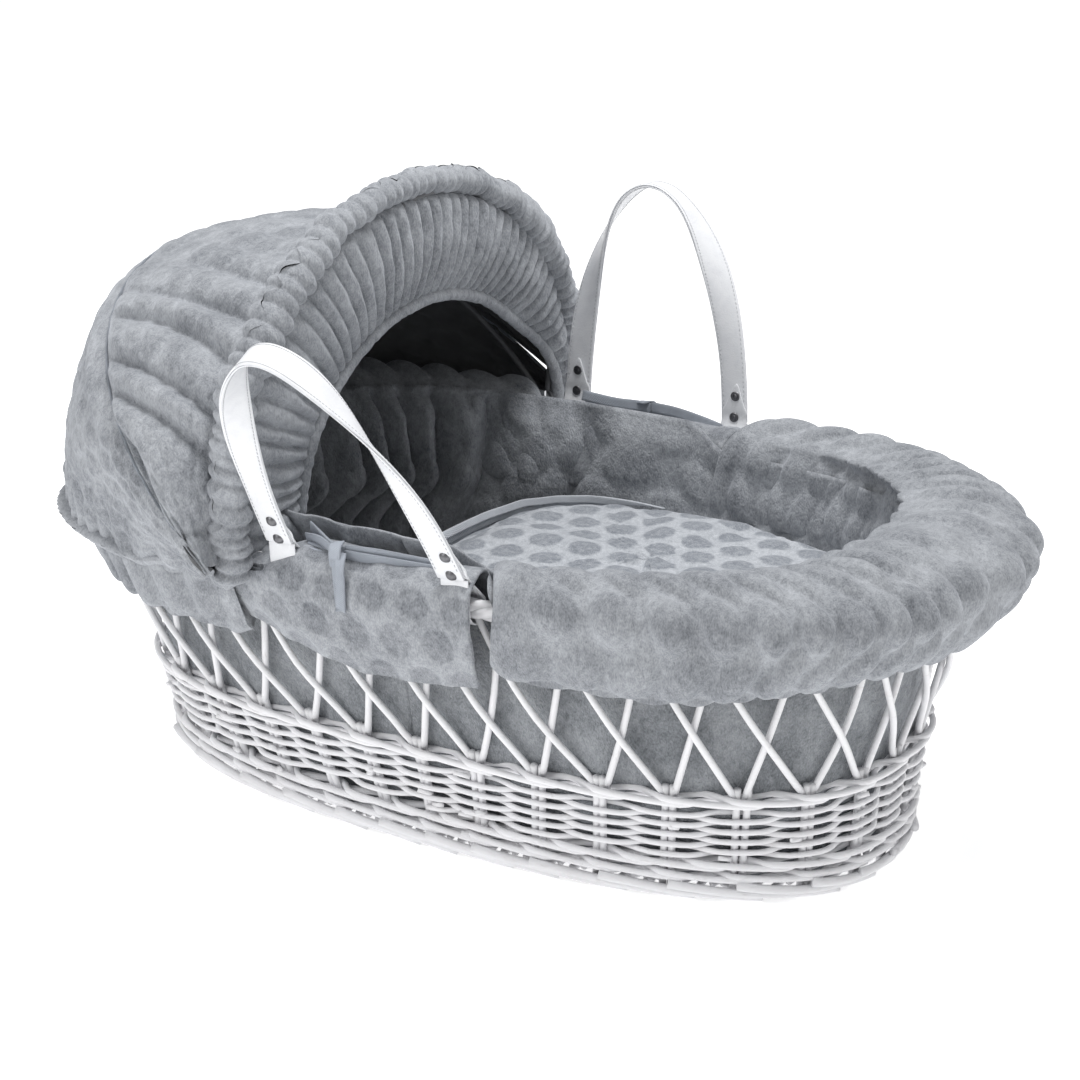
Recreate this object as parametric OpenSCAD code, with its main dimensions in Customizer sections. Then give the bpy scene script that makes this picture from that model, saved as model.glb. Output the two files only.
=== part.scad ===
// Moses basket: white woven cradle with a padded liner, a folding hood on two hoops,
// two leather carrying handles, a mattress and a quilted coverlet.
// Millimetres, +Z up, +X towards the foot end. The origin is the centre of the base on the floor.

/* [Wicker] */
// Half of the length of the base, outside
base_half_length = 339; // [320:1:360]
// Half of the width of the base, outside
base_half_width = 166; // [150:1:180]
// Half of the length at the top of the woven band
band_half_length = 350; // [340:1:370]
// Half of the width at the top of the woven band
band_half_width = 198; // [185:1:210]
// Height of the woven band
band_height = 105; // [90:1:115]
// Half of the length of the rim, at the middle of its border
rim_half_length = 375; // [370:1:380]
// Half of the width of the rim, at the middle of its border
rim_half_width = 222; // [218:1:226]
// Height of the middle of the rim border
rim_height = 246; // [240:1:252]
// Number of upright stake pairs
stake_pairs = 33; // [28:1:36]
// Diameter of a stake
stake_d = 6; // [5:0.5:6.5]
// Diameter of the rim border
rim_d = 18; // [16:1:18]

/* [Liner] */
// Height of the top of the padded bumper
bumper_top = 289; // [286:1:292]
// How far the bumper stands out past the rim at the sides
bumper_out = 18; // [16:1:20]
// How much further than that it stands out at the ends
end_gain = 2.5; // [2:0.1:2.6]
// Thickness of the fleece
fleece = 4; // [3:0.5:5]

/* [Bedding] */
// Thickness of the mattress
mattress_h = 40; // [30:1:50]
// Height of the middle of the coverlet
coverlet_top = 212; // [200:1:214]
// Where the head edge of the coverlet lies along the length
coverlet_head_x = -96; // [-110:1:-80]

/* [Handles] */
// Distance between the middles of a handle's two feet
handle_span = 162; // [156:1:166]
// Where the middle of the handles lies along the length
handle_x = -7; // [-10:1:-4]
// Height of a handle above its hinge line
handle_rise = 234; // [200:1:240]
// Width of the leather strap
strap_w = 25; // [22:1:26]
// Thickness of each of the two leathers
leather_t = 1.5; // [1.2:0.1:1.6]
// Outward lean of the near handle as it stands
near_lean = 26; // [20:1:30]
// Outward lean of the far handle as it stands
far_lean = 5; // [3:1:10]

/* [Hood] */
// Place of the hood pivots along the length
pivot_x = -137; // [-140:1:-136]
// Height of the hood pivots
pivot_z = 262; // [260:1:266]
// Radius of the front hoop
front_r = 249; // [248:1:250]
// Radius of the rear hoop
rear_r = 241; // [240:1:242]
// Forward lean of the front hoop
front_lean = 9; // [7:1:10]
// Backward lean of the rear hoop
rear_lean = 37; // [35:1:39]
// Diameter of the hoop wire
wire_d = 5; // [4:0.5:5]
// Thickness of the gathered ruffle
ruffle_d = 24; // [20:1:24]

/* [Hidden] */

white_wicker = "white";
fleece_grey = [0.62, 0.65, 0.69];
pale_leather = [0.90, 0.91, 0.92];
dark_steel = [0.35, 0.36, 0.38];
wire_steel = [0.75, 0.76, 0.78];
tape_grey = [0.55, 0.58, 0.63];

gap = 0.3;                        // clearance between parts that pass each other
facets = 72;                      // points round an oval
floor_t = 10;                     // thickness of the base floor
skin_t = 3.5;                     // thickness of each skin of the weave
row_h = 10.3;                     // height of one row of weave
band_rows = 8;
band_low = 13;                    // where the woven band starts
wale_h = 12;                      // height of the top wale
stake_gap = stake_d + 2 * gap;    // room between the two skins for the stakes
skin_slack = 0.5;                 // play between the outer skin and the stakes
outer_shift = 70;                 // sideways run of an outer lattice stake up to the rim
inner_shift = 32;                 // and of an inner one
lattice_inset = stake_d / 2 + 1.8;
liner_top = 226;
rim_low = rim_height - rim_d / 2;
strap_foot_x = [handle_x - handle_span / 2, handle_x + handle_span / 2];
strap_slot = strap_w + 9;         // gap that the bumper and flaps leave for a strap
foot_bumper_x = strap_foot_x[1] + strap_slot / 2;
head_bumper_x = pivot_x - 12;
handle_axis_y = rim_half_width - 1.2;
loop_r = rim_d / 2 + 2;           // inside radius of a strap end where it goes round the rim
strip_low = 31.5;                 // height of a strip's lower ends above the hinge line
rivet_low = 36;                   // height of the lower rivet above the hinge line
rivet_step = 19;
rivet_shank_d = 4;
pin_d = 4;
eye_d = 14;

// Half length, half width and squareness of the wall's outer face at height z
function wall_a(z) = lookup(z, [[0, base_half_length], [band_height, band_half_length],
    [rim_height, rim_half_length], [400, rim_half_length]]);
function wall_b(z) = lookup(z, [[0, base_half_width], [band_height, band_half_width],
    [rim_height, rim_half_width], [400, rim_half_width]]);
function wall_n(z) = lookup(z, [[0, 2.5], [band_height, 2.8], [rim_height, 2.7]]);

// A power that keeps the sign of its base
function spow(v, p) = sign(v) * pow(abs(v), p);
// A point of an oval at angle t
function oval_pt(a, b, n, t) = [a * spow(cos(t), 2 / n), b * spow(sin(t), 2 / n)];
// Half width of an oval at x
function oval_y(a, b, n, x) = b * pow(1 - pow(abs(x) / a, n), 1 / n);
// A point of the wall at angle t, o outside its face, with g times more at the ends
function wall_pt(t, z, o, g = 1) =
    let (p = oval_pt(wall_a(z) + o * g, wall_b(z) + o, wall_n(z), t)) [p[0], p[1], z];
// The angle at which the rim has the length coordinate x, on the near (-1) or far (1) side
function rim_angle(x, side) = side * acos(spow(x / rim_half_length, wall_n(rim_height) / 2));

// Quarters of the wall's outline at the top of the band, cut into short steps, for spacing stakes
steps = 720;
function step_len(i) = norm(wall_pt((i + 1) * 360 / steps - 90, band_height, 0)
    - wall_pt(i * 360 / steps - 90, band_height, 0));
function run(i, s) = i > steps ? [] : concat([s], run(i + 1, s + step_len(i)));
runs = run(0, 0);
outline = runs[steps];
pitch = outline / stake_pairs;
run_table = [for (i = [0 : steps]) [runs[i], i * 360 / steps - 90]];
// The angle of the wall point that is s along the outline from the middle of the near side
function angle_at(s) = lookup((s % outline + outline) % outline, run_table);
stake_phase = 9.4;
function stake_s(i) = stake_phase + i * pitch;

// Triangles that join rings of m points each into a tube; flip turns each quad's diagonal
function ring_faces(rings, m, closed, flip = false) = [
    for (i = [0 : rings - (closed ? 1 : 2)]) for (j = [0 : m - 1])
        let (a = i * m + j, b = i * m + (j + 1) % m, next = ((i + 1) % rings) * m,
             c = next + (j + 1) % m, d = next + j)
        each flip ? [[a, b, d], [b, c, d]] : [[a, b, c], [a, c, d]]
];
// Ends of such a tube, where the profile's first half runs along one side and its second half back
function cap_faces(rings, m) = let (last = (rings - 1) * m) [
    for (j = [0 : m / 2 - 2])
        let (k = m - 1 - j)
        each [[k - 1, j + 1, j], [k, k - 1, j],
              [last + j, last + j + 1, last + k - 1], [last + j, last + k - 1, last + k]]
];

// A closed profile of [offset, z] points carried round the wall from angle t0 to t1
module carry(profile, t0 = 0, t1 = 360, n = facets, g = 1) {
    m = len(profile);
    closed = t1 - t0 == 360;
    rings = closed ? n : n + 1;
    points = [for (i = [0 : rings - 1]) for (p = profile)
        wall_pt(t0 + (t1 - t0) * i / n, p[1], p[0], g)];
    faces = closed ? ring_faces(rings, m, true)
        : concat(ring_faces(rings, m, false), cap_faces(rings, m));
    polyhedron(points, faces, convexity = 6);
}

// An oval plate between two heights
module oval_plate(a, b, n, z0, z1) {
    translate([0, 0, z0])
        linear_extrude(z1 - z0)
            polygon([for (i = [0 : facets - 1]) oval_pt(a, b, n, i * 360 / facets)]);
}

// A straight rod from p to q
module rod(p, q, d) {
    v = q - p;
    translate(p)
        rotate([0, acos(v[2] / norm(v)), atan2(v[1], v[0])])
            cylinder(d = d, h = norm(v), $fn = 24);
}

// ---- wicker ----

module base_floor() {
    color(white_wicker)
        oval_plate(base_half_length - 14, base_half_width - 14, wall_n(0), 0, floor_t);
}

// Lengthwise and crosswise sticks on the floor
module base_sticks() {
    stick_d = 6;
    color(white_wicker)
        for (y = [-90 : 45 : 90])
            translate([-250, y, floor_t + stick_d / 2])
                rotate([0, 90, 0])
                    cylinder(d = stick_d, h = 500, $fn = 24);
}

module foot_border() {
    color(white_wicker)
        difference() {
            oval_plate(base_half_length + 2, base_half_width + 2, wall_n(0), 0, band_low - gap);
            oval_plate(base_half_length - 13.5, base_half_width - 13.5, wall_n(0), -1, band_low + 1);
        }
}

// Upright stakes in pairs, between the two skins of the weave
module stakes() {
    o = -skin_t - stake_gap / 2;
    color(white_wicker)
        for (i = [0 : stake_pairs - 1], side = [-1, 1]) {
            t = angle_at(stake_s(i) + side * (stake_d / 2 + 0.2));
            rod(wall_pt(t, band_low + 1, o), wall_pt(t, band_height, o), stake_d);
        }
}

// Rows of weave as a profile with a swelling for each row
function rows_profile(o_face, o_back, out) = concat(
    [for (k = [0 : band_rows - 1]) each [[o_face, band_low + k * row_h],
        [o_face + out * 1.4, band_low + (k + 0.5) * row_h]]],
    [[o_face, band_low + band_rows * row_h], [o_back, band_low + band_rows * row_h], [o_back, band_low]]);

module weave_outer() {
    color(white_wicker)
        carry(rows_profile(0, skin_slack - skin_t, 1));
}

module weave_inner() {
    rows = rows_profile(-2 * skin_t - stake_gap, -skin_t - stake_gap, -1);
    color(white_wicker)
        carry([for (k = [len(rows) - 1 : -1 : 0]) rows[k]]);
}

// The thicker pair of rows that locks the top of the weave
module top_wale() {
    z0 = band_low + band_rows * row_h + gap;
    z1 = z0 + wale_h - gap;
    color(white_wicker) {
        carry([[1, z0], [2.5, (z0 + z1) / 2], [1, z1], [skin_slack - skin_t, z1], [skin_slack - skin_t, z0]]);
        carry([[-skin_t - stake_gap, z0], [-skin_t - stake_gap, z1], [-2 * skin_t - stake_gap - 1, z1],
            [-2 * skin_t - stake_gap - 1, z0]]);
    }
}

// A lattice stake ends lower where a strap passes under the rim
function lattice_end(p) = min([for (x = strap_foot_x) abs(p[0] - x)]) < strap_w / 2 + 6 ? 229 : rim_low - 2;

module lattice(side, inset, shift) {
    low = band_height + 6;
    for (i = [0 : stake_pairs - 1]) {
        s = stake_s(i) + side * (stake_d / 2 + 0.2);
        top = wall_pt(angle_at(s + side * shift), rim_low, inset);
        end_z = lattice_end(top);
        foot = wall_pt(angle_at(s), low, -skin_t - stake_gap / 2 + inset);
        head = foot + (top - foot) * (end_z - low) / (rim_low - low);
        rod(foot, head, stake_d);
    }
}

module lattice_outer() {
    color(white_wicker)
        lattice(-1, lattice_inset, outer_shift);
}

module lattice_inner() {
    color(white_wicker)
        lattice(1, -lattice_inset, inner_shift);
}

module rim_border() {
    r = rim_d / 2;
    color(white_wicker)
        carry([for (k = [0 : 9]) [r * cos(k * 36), rim_height + r * sin(k * 36)]]);
}

// ---- liner ----

module liner_wall() {
    color(fleece_grey)
        carry([[-18, floor_t + 0.5], [-17, band_height], [-17, liner_top],
            [-17 - fleece, liner_top], [-17 - fleece, band_height], [-18 - fleece, floor_t + 0.5]]);
}

// The bumper's section: an inner leg, a padded roll over the rim and an outer skirt
function bumper_profile(low) = [
    [bumper_out - 6, low], [bumper_out, 238], [bumper_out, 258], [bumper_out - 6, 276],
    [2, bumper_top], [-14, bumper_top - 1], [-26, bumper_top - 12], [-32, 258], [-32, 218],
    [-26, 218], [-25, 250], [-12, 262], [6, 262], [bumper_out - 5, 252], [bumper_out - 5, 236],
    [bumper_out - 10, low]];

// The foot part's two ends are square to the length, so that both handles clear them
module bumper_foot() {
    n = 40;
    profile = bumper_profile(208);
    points = [for (i = [0 : n]) for (p = profile)
        let (half = acos(spow(foot_bumper_x / (wall_a(p[1]) + p[0] * end_gain), wall_n(p[1]) / 2)))
            wall_pt(half * (2 * i / n - 1), p[1], p[0], end_gain)];
    color(fleece_grey)
        polyhedron(points, concat(ring_faces(n + 1, len(profile), false), cap_faces(n + 1, len(profile))),
            convexity = 6);
}

module bumper_head() {
    far = rim_angle(head_bumper_x, 1);
    color(fleece_grey)
        carry(bumper_profile(184), far, 360 - far, 36, end_gain);
}

// Carries a profile along one side of the rim between two places along the length
module carry_side(profile, side, x0, x1, n) {
    from = rim_angle(x0, side);
    to = rim_angle(x1, side);
    carry(profile, min(from, to), max(from, to), n);
}

// The flap that folds over the rim between a handle's feet, with the skirt that runs on below both feet
module flap(side) {
    low = 190;
    skirt_top = 228;
    skirt_gap = 5;
    out = bumper_out - 4;
    fold = [[out, low + 1], [out, 250], [6, 266], [-16, 264], [-20, 250], [-20, 236], [-16, 236],
        [-15, 250], [-9, 260], [4, 260], [out - fleece, 248], [out - fleece, low + 1]];
    skirt = [[out, low], [out, skirt_top], [out - fleece, skirt_top], [out - fleece, low]];
    color(fleece_grey)
        union() {
            carry_side(fold, side, strap_foot_x[0] + strap_slot / 2, strap_foot_x[1] - strap_slot / 2, 10);
            carry_side(skirt, side, head_bumper_x + 1, foot_bumper_x - skirt_gap, 16);
        }
}

module near_flap() {
    flap(-1);
}

module far_flap() {
    flap(1);
}

// The tape that binds the top edge of a flap
module flap_binding(side) {
    color(tape_grey)
        carry_side([for (k = [0 : 5]) [-6 + 4 * cos(k * 60), 271 + 3 * sin(k * 60)]], side,
            strap_foot_x[0] + strap_slot / 2, strap_foot_x[1] - strap_slot / 2, 10);
}

module near_flap_binding() {
    flap_binding(-1);
}

module far_flap_binding() {
    flap_binding(1);
}

// A tied tape: the knot, two loops and a tail that hangs outside
module tie(x, side) {
    y = side * (oval_y(rim_half_length, rim_half_width, wall_n(rim_height), x) + bumper_out + gap);
    color(tape_grey)
        translate([x, y, 262])
            union() {
                cube([12, 8, 10], center = true);
                for (s = [-1, 1])
                    translate([s * 17, 0, 0])
                        cube([24, 6, 7], center = true);
                translate([3, 0, -23])
                    cube([9, 4, 40], center = true);
            }
}

module near_tie() {
    tie(-34, -1);
}

module far_tie() {
    tie(-18, 1);
}

// ---- bedding ----

mattress_a = 306;
mattress_b = 134;
mattress_low = floor_t + 6 + gap;
cover_t = 1.5;

module mattress_core() {
    color("white")
        oval_plate(mattress_a - cover_t - gap, mattress_b - cover_t - gap, 2.6,
            mattress_low + cover_t + gap, mattress_low + mattress_h - cover_t - gap);
}

module mattress_cover() {
    color("white")
        difference() {
            oval_plate(mattress_a, mattress_b, 2.6, mattress_low, mattress_low + mattress_h);
            oval_plate(mattress_a - cover_t, mattress_b - cover_t, 2.6,
                mattress_low + cover_t, mattress_low + mattress_h - cover_t);
        }
}

// The quilt, tucked down inside the liner on to the mattress
module coverlet() {
    low = mattress_low + mattress_h + gap;
    color(fleece_grey)
        intersection() {
            hull() {
                oval_plate(300, 132, 2.6, low, low + 1);
                oval_plate(316, 164, 2.7, 140, 141);
                oval_plate(320, 172, 2.7, 190, 191);
                oval_plate(290, 140, 2.4, coverlet_top - 6, coverlet_top - 5);
                oval_plate(200, 80, 2.2, coverlet_top - 1, coverlet_top);
            }
            translate([coverlet_head_x, -250, 0])
                cube([600, 500, 300]);
        }
}

// The bound hem along the head edge of the coverlet
module coverlet_hem() {
    hem_t = 8;
    color(tape_grey)
        translate([coverlet_head_x - hem_t - gap, 0, 0])
            rotate([90, 0, 90])
                linear_extrude(hem_t)
                    difference() {
                        polygon([for (k = [0 : 24]) [160 * cos(180 - k * 7.5), 168 + 44 * sin(k * 7.5)]]);
                        polygon([for (k = [0 : 24]) [150 * cos(180 - k * 7.5), 160 + 42 * sin(k * 7.5)]]);
                    }
}

// ---- handles ----

// Half width of a handle at a share u of its rise
function leg_x(u) = handle_span / 2 * pow(1 - pow(u, 2.3), 0.5);
// A handle's centre line from one foot over to the other, at share v from -1 to 1; skew leans it to the head
function arch_pt(v, skew) = let (u = sin(90 * (1 - abs(v))))
    [sign(v) * leg_x(u) + skew * pow(u, 1.5), 0, handle_rise * u];
// The turn of the strap from flat against the rim at its feet to flat on top
function strap_turn(v) = let (h = 1 - abs(v)) h < 0.22 ? 0 : min(1, (h - 0.22) / 0.5) * 90;

// One leather of a handle: a flat strip swept along the centre line, from t0 to t1 off the middle
module leather_strip(skew, t0, t1, flip) {
    n = 48;
    v0 = 1 - asin(strip_low / handle_rise) / 90;
    points = [for (i = [0 : n])
        let (v = -v0 + 2 * v0 * i / n,
             p = arch_pt(v, skew),
             d = arch_pt(v + 0.002, skew) - arch_pt(v - 0.002, skew),
             tan_v = d / norm(d),
             side_v = cross(tan_v, [0, -1, 0]),
             turn = strap_turn(v),
             wide = side_v * cos(turn) + [0, 1, 0] * sin(turn),
             thick = [0, -1, 0] * cos(turn) + side_v * sin(turn))
        each [p - wide * strap_w / 2 + thick * t0, p + wide * strap_w / 2 + thick * t0,
              p + wide * strap_w / 2 + thick * t1, p - wide * strap_w / 2 + thick * t1]];
    difference() {
        polyhedron(points, concat(ring_faces(n + 1, 4, false, flip), cap_faces(n + 1, 4)), convexity = 4);
        rivet_places()
            rotate([90, 0, 0])
                cylinder(d = rivet_shank_d, h = 20, center = true, $fn = 24);
    }
}

module rivet_places() {
    for (sx = [-1, 1], k = [0, 1])
        translate([sx * handle_span / 2, 0, rivet_low + k * rivet_step])
            children();
}

// A strap end seen along the rim: round the border and back up to the tab
module strap_end() {
    r0 = loop_r;
    r1 = loop_r + leather_t;
    meet = 27;
    tab_top = rivet_low + rivet_step + 11;
    tilt = asin(r0 / meet);
    difference() {
        translate([-strap_w / 2, 0, 0])
            rotate([90, 0, 90])
                linear_extrude(strap_w)
                    difference() {
                        union() {
                            circle(r = r1, $fn = 48);
                            polygon([[-r1 * cos(tilt), r1 * sin(tilt)], [r1 * cos(tilt), r1 * sin(tilt)],
                                [leather_t, meet + 4], [leather_t, tab_top], [0, tab_top], [0, meet + 4]]);
                        }
                        circle(r = r0, $fn = 48);
                        polygon([[-r0 * cos(tilt), r0 * sin(tilt)], [r0 * cos(tilt), r0 * sin(tilt)], [0, meet]]);
                    }
        for (k = [0, 1])
            translate([0, 0, rivet_low + k * rivet_step])
                rotate([90, 0, 0])
                    cylinder(d = rivet_shank_d, h = 20, center = true, $fn = 24);
        for (s = [-1, 1])
            translate([s * strap_w / 2, 0, tab_top])
                rotate([0, 45, 0])
                    cube([14, 10, 14], center = true);
    }
}

// Places a handle's own frame: hinge line on the rim, leaning outwards
module handle_frame(side, lean) {
    translate([handle_x, side * handle_axis_y, rim_height])
        rotate([-side * lean, 0, 0])
            scale([1, -side, 1])
                children();
}

module handle_leather(side, lean, skew) {
    color(pale_leather)
        handle_frame(side, lean)
            leather_strip(skew, leather_t + gap, 2 * leather_t + gap, true);
}

module handle_lining(side, lean, skew) {
    color(pale_leather)
        handle_frame(side, lean)
            leather_strip(skew, 0, leather_t, false);
}

module handle_ends(side, lean) {
    color(pale_leather)
        handle_frame(side, lean)
            for (sx = [-1, 1])
                translate([sx * handle_span / 2, gap / 3, 0])
                    strap_end();
}

// Domed rivets with their shanks and flat backs
module handle_rivets(side, lean) {
    cap_d = 10;
    face = 2 * leather_t + gap;       // outer face of the strap, off the hinge plane
    back = leather_t + gap / 3;       // inner face of the tab
    color(dark_steel)
        handle_frame(side, lean)
            rivet_places()
                rotate([90, 0, 0]) {
                    translate([0, 0, -back - 0.5])
                        cylinder(d = rivet_shank_d - 0.1, h = face + back + 1, $fn = 24);
                    translate([0, 0, face])
                        rotate_extrude($fn = 36)
                            polygon([[0, 0], [cap_d / 2, 0], [cap_d / 2 - 0.4, 1], [cap_d / 2 - 1.6, 2.1], [0, 2.8]]);
                    translate([0, 0, -back - 1])
                        cylinder(d = cap_d - 1, h = 1, $fn = 36);
                }
}

near_skew = -28;
far_skew = -12;

module near_handle_leather() {
    handle_leather(-1, near_lean, near_skew);
}

module near_handle_lining() {
    handle_lining(-1, near_lean, near_skew);
}

module near_handle_ends() {
    handle_ends(-1, near_lean);
}

module near_handle_rivets() {
    handle_rivets(-1, near_lean);
}

module far_handle_leather() {
    handle_leather(1, far_lean, far_skew);
}

module far_handle_lining() {
    handle_lining(1, far_lean, far_skew);
}

module far_handle_ends() {
    handle_ends(1, far_lean);
}

module far_handle_rivets() {
    handle_rivets(1, far_lean);
}

// ---- hood ----

// The hood's own frame: Y along the pivots, Z along a hoop that leans forward by lean
module hood_frame(lean) {
    translate([pivot_x, 0, pivot_z])
        rotate([0, lean, 0])
            children();
}

// A part circle about the pivots: the ends start at angle a0 above the pivot line
module arc_sweep(a0) {
    rotate([90, 0, 90])
        rotate([0, 0, a0])
            rotate_extrude(angle = 180 - 2 * a0, $fn = 96)
                children();
}

// A bent wire hoop with a flat eye at each end
module hoop(r) {
    a0 = asin((eye_d / 2 + 0.5) / r) - 0.4;
    difference() {
        union() {
            arc_sweep(a0)
                translate([r, 0])
                    circle(d = wire_d, $fn = 24);
            for (s = [-1, 1])
                translate([0, s * r, 0])
                    rotate([90, 0, 0])
                        cylinder(d = eye_d, h = 4, center = true, $fn = 36);
        }
        rotate([90, 0, 0])
            cylinder(d = pin_d + 0.1, h = 600, center = true, $fn = 36);
    }
}

module front_hoop() {
    color(wire_steel)
        hood_frame(front_lean)
            hoop(front_r);
}

module rear_hoop() {
    color(wire_steel)
        hood_frame(-rear_lean)
            hoop(rear_r);
}

// A pin with an outer head through the eyes of both hoops, on each side
module hood_pins() {
    color(wire_steel)
        for (s = [-1, 1])
            translate([pivot_x, s * 243, pivot_z])
                rotate([s * -90, 0, 0]) {
                    translate([0, 0, -10])
                        cylinder(d = pin_d, h = 20, $fn = 36);
                    translate([0, 0, 9])
                        cylinder(d = 8, h = 2, $fn = 36);
                }
}

// A bracket on the rim border that carries a pin
module hood_brackets() {
    plate_y = 234;
    border_y = oval_y(rim_half_length, rim_half_width, wall_n(rim_height), pivot_x + 8) + rim_d / 2 + gap;
    color(wire_steel)
        for (s = [-1, 1])
            difference() {
                union() {
                    translate([pivot_x - 8, s * plate_y - 1.5, 236])
                        cube([16, 3, 36]);
                    translate([pivot_x - 8, s > 0 ? border_y : -plate_y, 241])
                        cube([16, plate_y - border_y, 10]);
                }
                translate([pivot_x, s * plate_y, pivot_z])
                    rotate([90, 0, 0])
                        cylinder(d = pin_d, h = 12, center = true, $fn = 36);
            }
}

module hood_ruffle() {
    color(fleece_grey)
        hood_frame(front_lean)
            arc_sweep(9)
                translate([front_r + wire_d / 2 + ruffle_d / 2 + gap, 0])
                    circle(d = ruffle_d, $fn = 32);
}

// The gathered band between the front hoop and the opening
module hood_frill() {
    color(fleece_grey)
        hood_frame(front_lean)
            arc_sweep(22)
                translate([186, 2])
                    square([54, 8]);
}

module hood_frill_binding() {
    color(fleece_grey)
        hood_frame(front_lean)
            arc_sweep(22)
                translate([180, 7])
                    circle(d = 10, $fn = 24);
}

// The top and sides of the canopy, between the two hoops
module hood_top_panel() {
    inner = 254;
    behind = 10;                      // degrees that it starts behind the front hoop
    color(fleece_grey)
        translate([pivot_x, 0, pivot_z])
            rotate([90, 0, 0])
                rotate([0, 0, 90 - (front_lean - behind)])
                    rotate_extrude(angle = rear_lean + front_lean - behind - 1, $fn = 96)
                        difference() {
                            intersection() {
                                circle(r = inner + fleece, $fn = 96);
                                translate([80, -300])
                                    square([300, 600]);
                            }
                            circle(r = inner, $fn = 96);
                        }
}

module hood_seam_piping() {
    color(tape_grey)
        hood_frame(-rear_lean - 1)
            arc_sweep(26)
                translate([262.5, 0])
                    circle(d = 5, $fn = 24);
}

// The back of the canopy, from the rear hoop out over the head end of the bumper
back_rows = 7;
back_cols = 28;
hem_z = 226;
hem_out = bumper_out + 4;
function back_top(u, r) = let (d = 180 * u, s = rear_lean + 2)
    [pivot_x - r * sin(d) * sin(s), -r * cos(d), pivot_z + r * sin(d) * cos(s)];
function back_low(u, o) = let (near = rim_angle(pivot_x - 14, -1),
    t = 360 + near - u * (2 * near + 360)) wall_pt(t, hem_z, o, end_gain);
function back_pt(u, w, o) = let (bulge = 30 * sin(180 * w) * pow(sin(180 * u), 0.5), p = back_top(u, 256 + o),
    q = back_low(u, hem_out + o)) p + (q - p) * w + [-bulge, 0, bulge * 0.5];

module hood_back_panel() {
    u0 = 0.08;
    points = [for (o = [0, fleece]) for (i = [0 : back_rows]) for (j = [0 : back_cols])
        back_pt(u0 + (1 - 2 * u0) * j / back_cols, i / back_rows, o)];
    w = back_cols + 1;
    half = w * (back_rows + 1);
    sheet = [for (i = [0 : back_rows - 1]) for (j = [0 : back_cols - 1])
        [i * w + j, i * w + j + 1, (i + 1) * w + j + 1, (i + 1) * w + j]];
    inner = sheet;
    outer = [for (f = sheet) [for (k = [3 : -1 : 0]) f[k] + half]];
    rim = concat([for (j = [0 : back_cols]) j], [for (i = [1 : back_rows]) i * w + back_cols],
        [for (j = [back_cols - 1 : -1 : 0]) back_rows * w + j], [for (i = [back_rows - 1 : -1 : 1]) i * w]);
    m = len(rim);
    edge = [for (k = [0 : m - 1]) [rim[(k + 1) % m], rim[k], rim[k] + half, rim[(k + 1) % m] + half]];
    color(fleece_grey)
        polyhedron(points, concat(inner, outer, edge), convexity = 6);
}

// The elastic hem that holds the hood round the head end
module hood_hem() {
    near = rim_angle(pivot_x - 14, 1);
    color(tape_grey)
        carry([for (k = [0 : 5]) [hem_out + 3 + 4 * cos(k * 60), hem_z - 6 + 4 * sin(k * 60)]],
            near, 360 - near, 36, end_gain);
}

base_floor();
base_sticks();
foot_border();
stakes();
weave_outer();
weave_inner();
top_wale();
lattice_outer();
lattice_inner();
rim_border();
liner_wall();
bumper_foot();
bumper_head();
near_flap();
far_flap();
near_flap_binding();
far_flap_binding();
near_tie();
far_tie();
mattress_core();
mattress_cover();
coverlet();
coverlet_hem();
near_handle_leather();
near_handle_lining();
near_handle_ends();
near_handle_rivets();
far_handle_leather();
far_handle_lining();
far_handle_ends();
far_handle_rivets();
hood_brackets();
hood_pins();
front_hoop();
rear_hoop();
hood_ruffle();
hood_frill();
hood_frill_binding();
hood_top_panel();
hood_seam_piping();
hood_back_panel();
hood_hem();
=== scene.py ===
"""Moses basket: white willow weave, plush padded liner, folding gathered hood, leather handles, bedding."""
import logging
import math
import random
from dataclasses import dataclass, field
from enum import Enum
from typing import Callable, Iterable, Sequence

import bmesh
import bpy
from mathutils import Matrix, Vector, noise


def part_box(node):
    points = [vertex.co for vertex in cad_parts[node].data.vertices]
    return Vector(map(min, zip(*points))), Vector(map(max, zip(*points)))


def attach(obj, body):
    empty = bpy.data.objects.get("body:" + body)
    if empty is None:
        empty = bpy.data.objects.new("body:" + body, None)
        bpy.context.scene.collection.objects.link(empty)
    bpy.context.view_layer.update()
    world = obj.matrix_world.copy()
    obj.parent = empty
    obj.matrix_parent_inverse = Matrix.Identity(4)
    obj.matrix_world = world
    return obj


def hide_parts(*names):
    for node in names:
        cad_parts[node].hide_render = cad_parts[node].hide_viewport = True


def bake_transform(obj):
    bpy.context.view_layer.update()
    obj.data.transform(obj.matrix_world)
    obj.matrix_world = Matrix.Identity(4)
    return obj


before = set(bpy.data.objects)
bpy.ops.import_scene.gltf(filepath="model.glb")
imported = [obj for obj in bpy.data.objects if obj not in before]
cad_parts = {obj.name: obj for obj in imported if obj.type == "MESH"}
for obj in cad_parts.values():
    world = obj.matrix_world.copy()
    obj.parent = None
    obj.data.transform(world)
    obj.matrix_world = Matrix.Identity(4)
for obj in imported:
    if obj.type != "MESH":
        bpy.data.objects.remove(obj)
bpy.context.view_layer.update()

LOG = logging.getLogger("moses_basket")
TAU = 2 * math.pi
Place = Callable[[float, float], Vector]
Relief = Callable[[float, float], float]


class Side(Enum):
    """The side of the basket, as the sign of Y."""

    NEAR = -1
    FAR = 1


# ---------------------------------------------------------------- small sums


def spow(value: float, power: float) -> float:
    """A power that keeps the sign of its base."""
    return math.copysign(abs(value) ** power, value)


def clamp(value: float, low: float = 0.0, high: float = 1.0) -> float:
    """The value, held between low and high."""
    return max(low, min(high, value))


def smooth(value: float) -> float:
    """An S-shaped step from 0 to 1."""
    t = clamp(value)
    return t * t * (3 - 2 * t)


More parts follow.
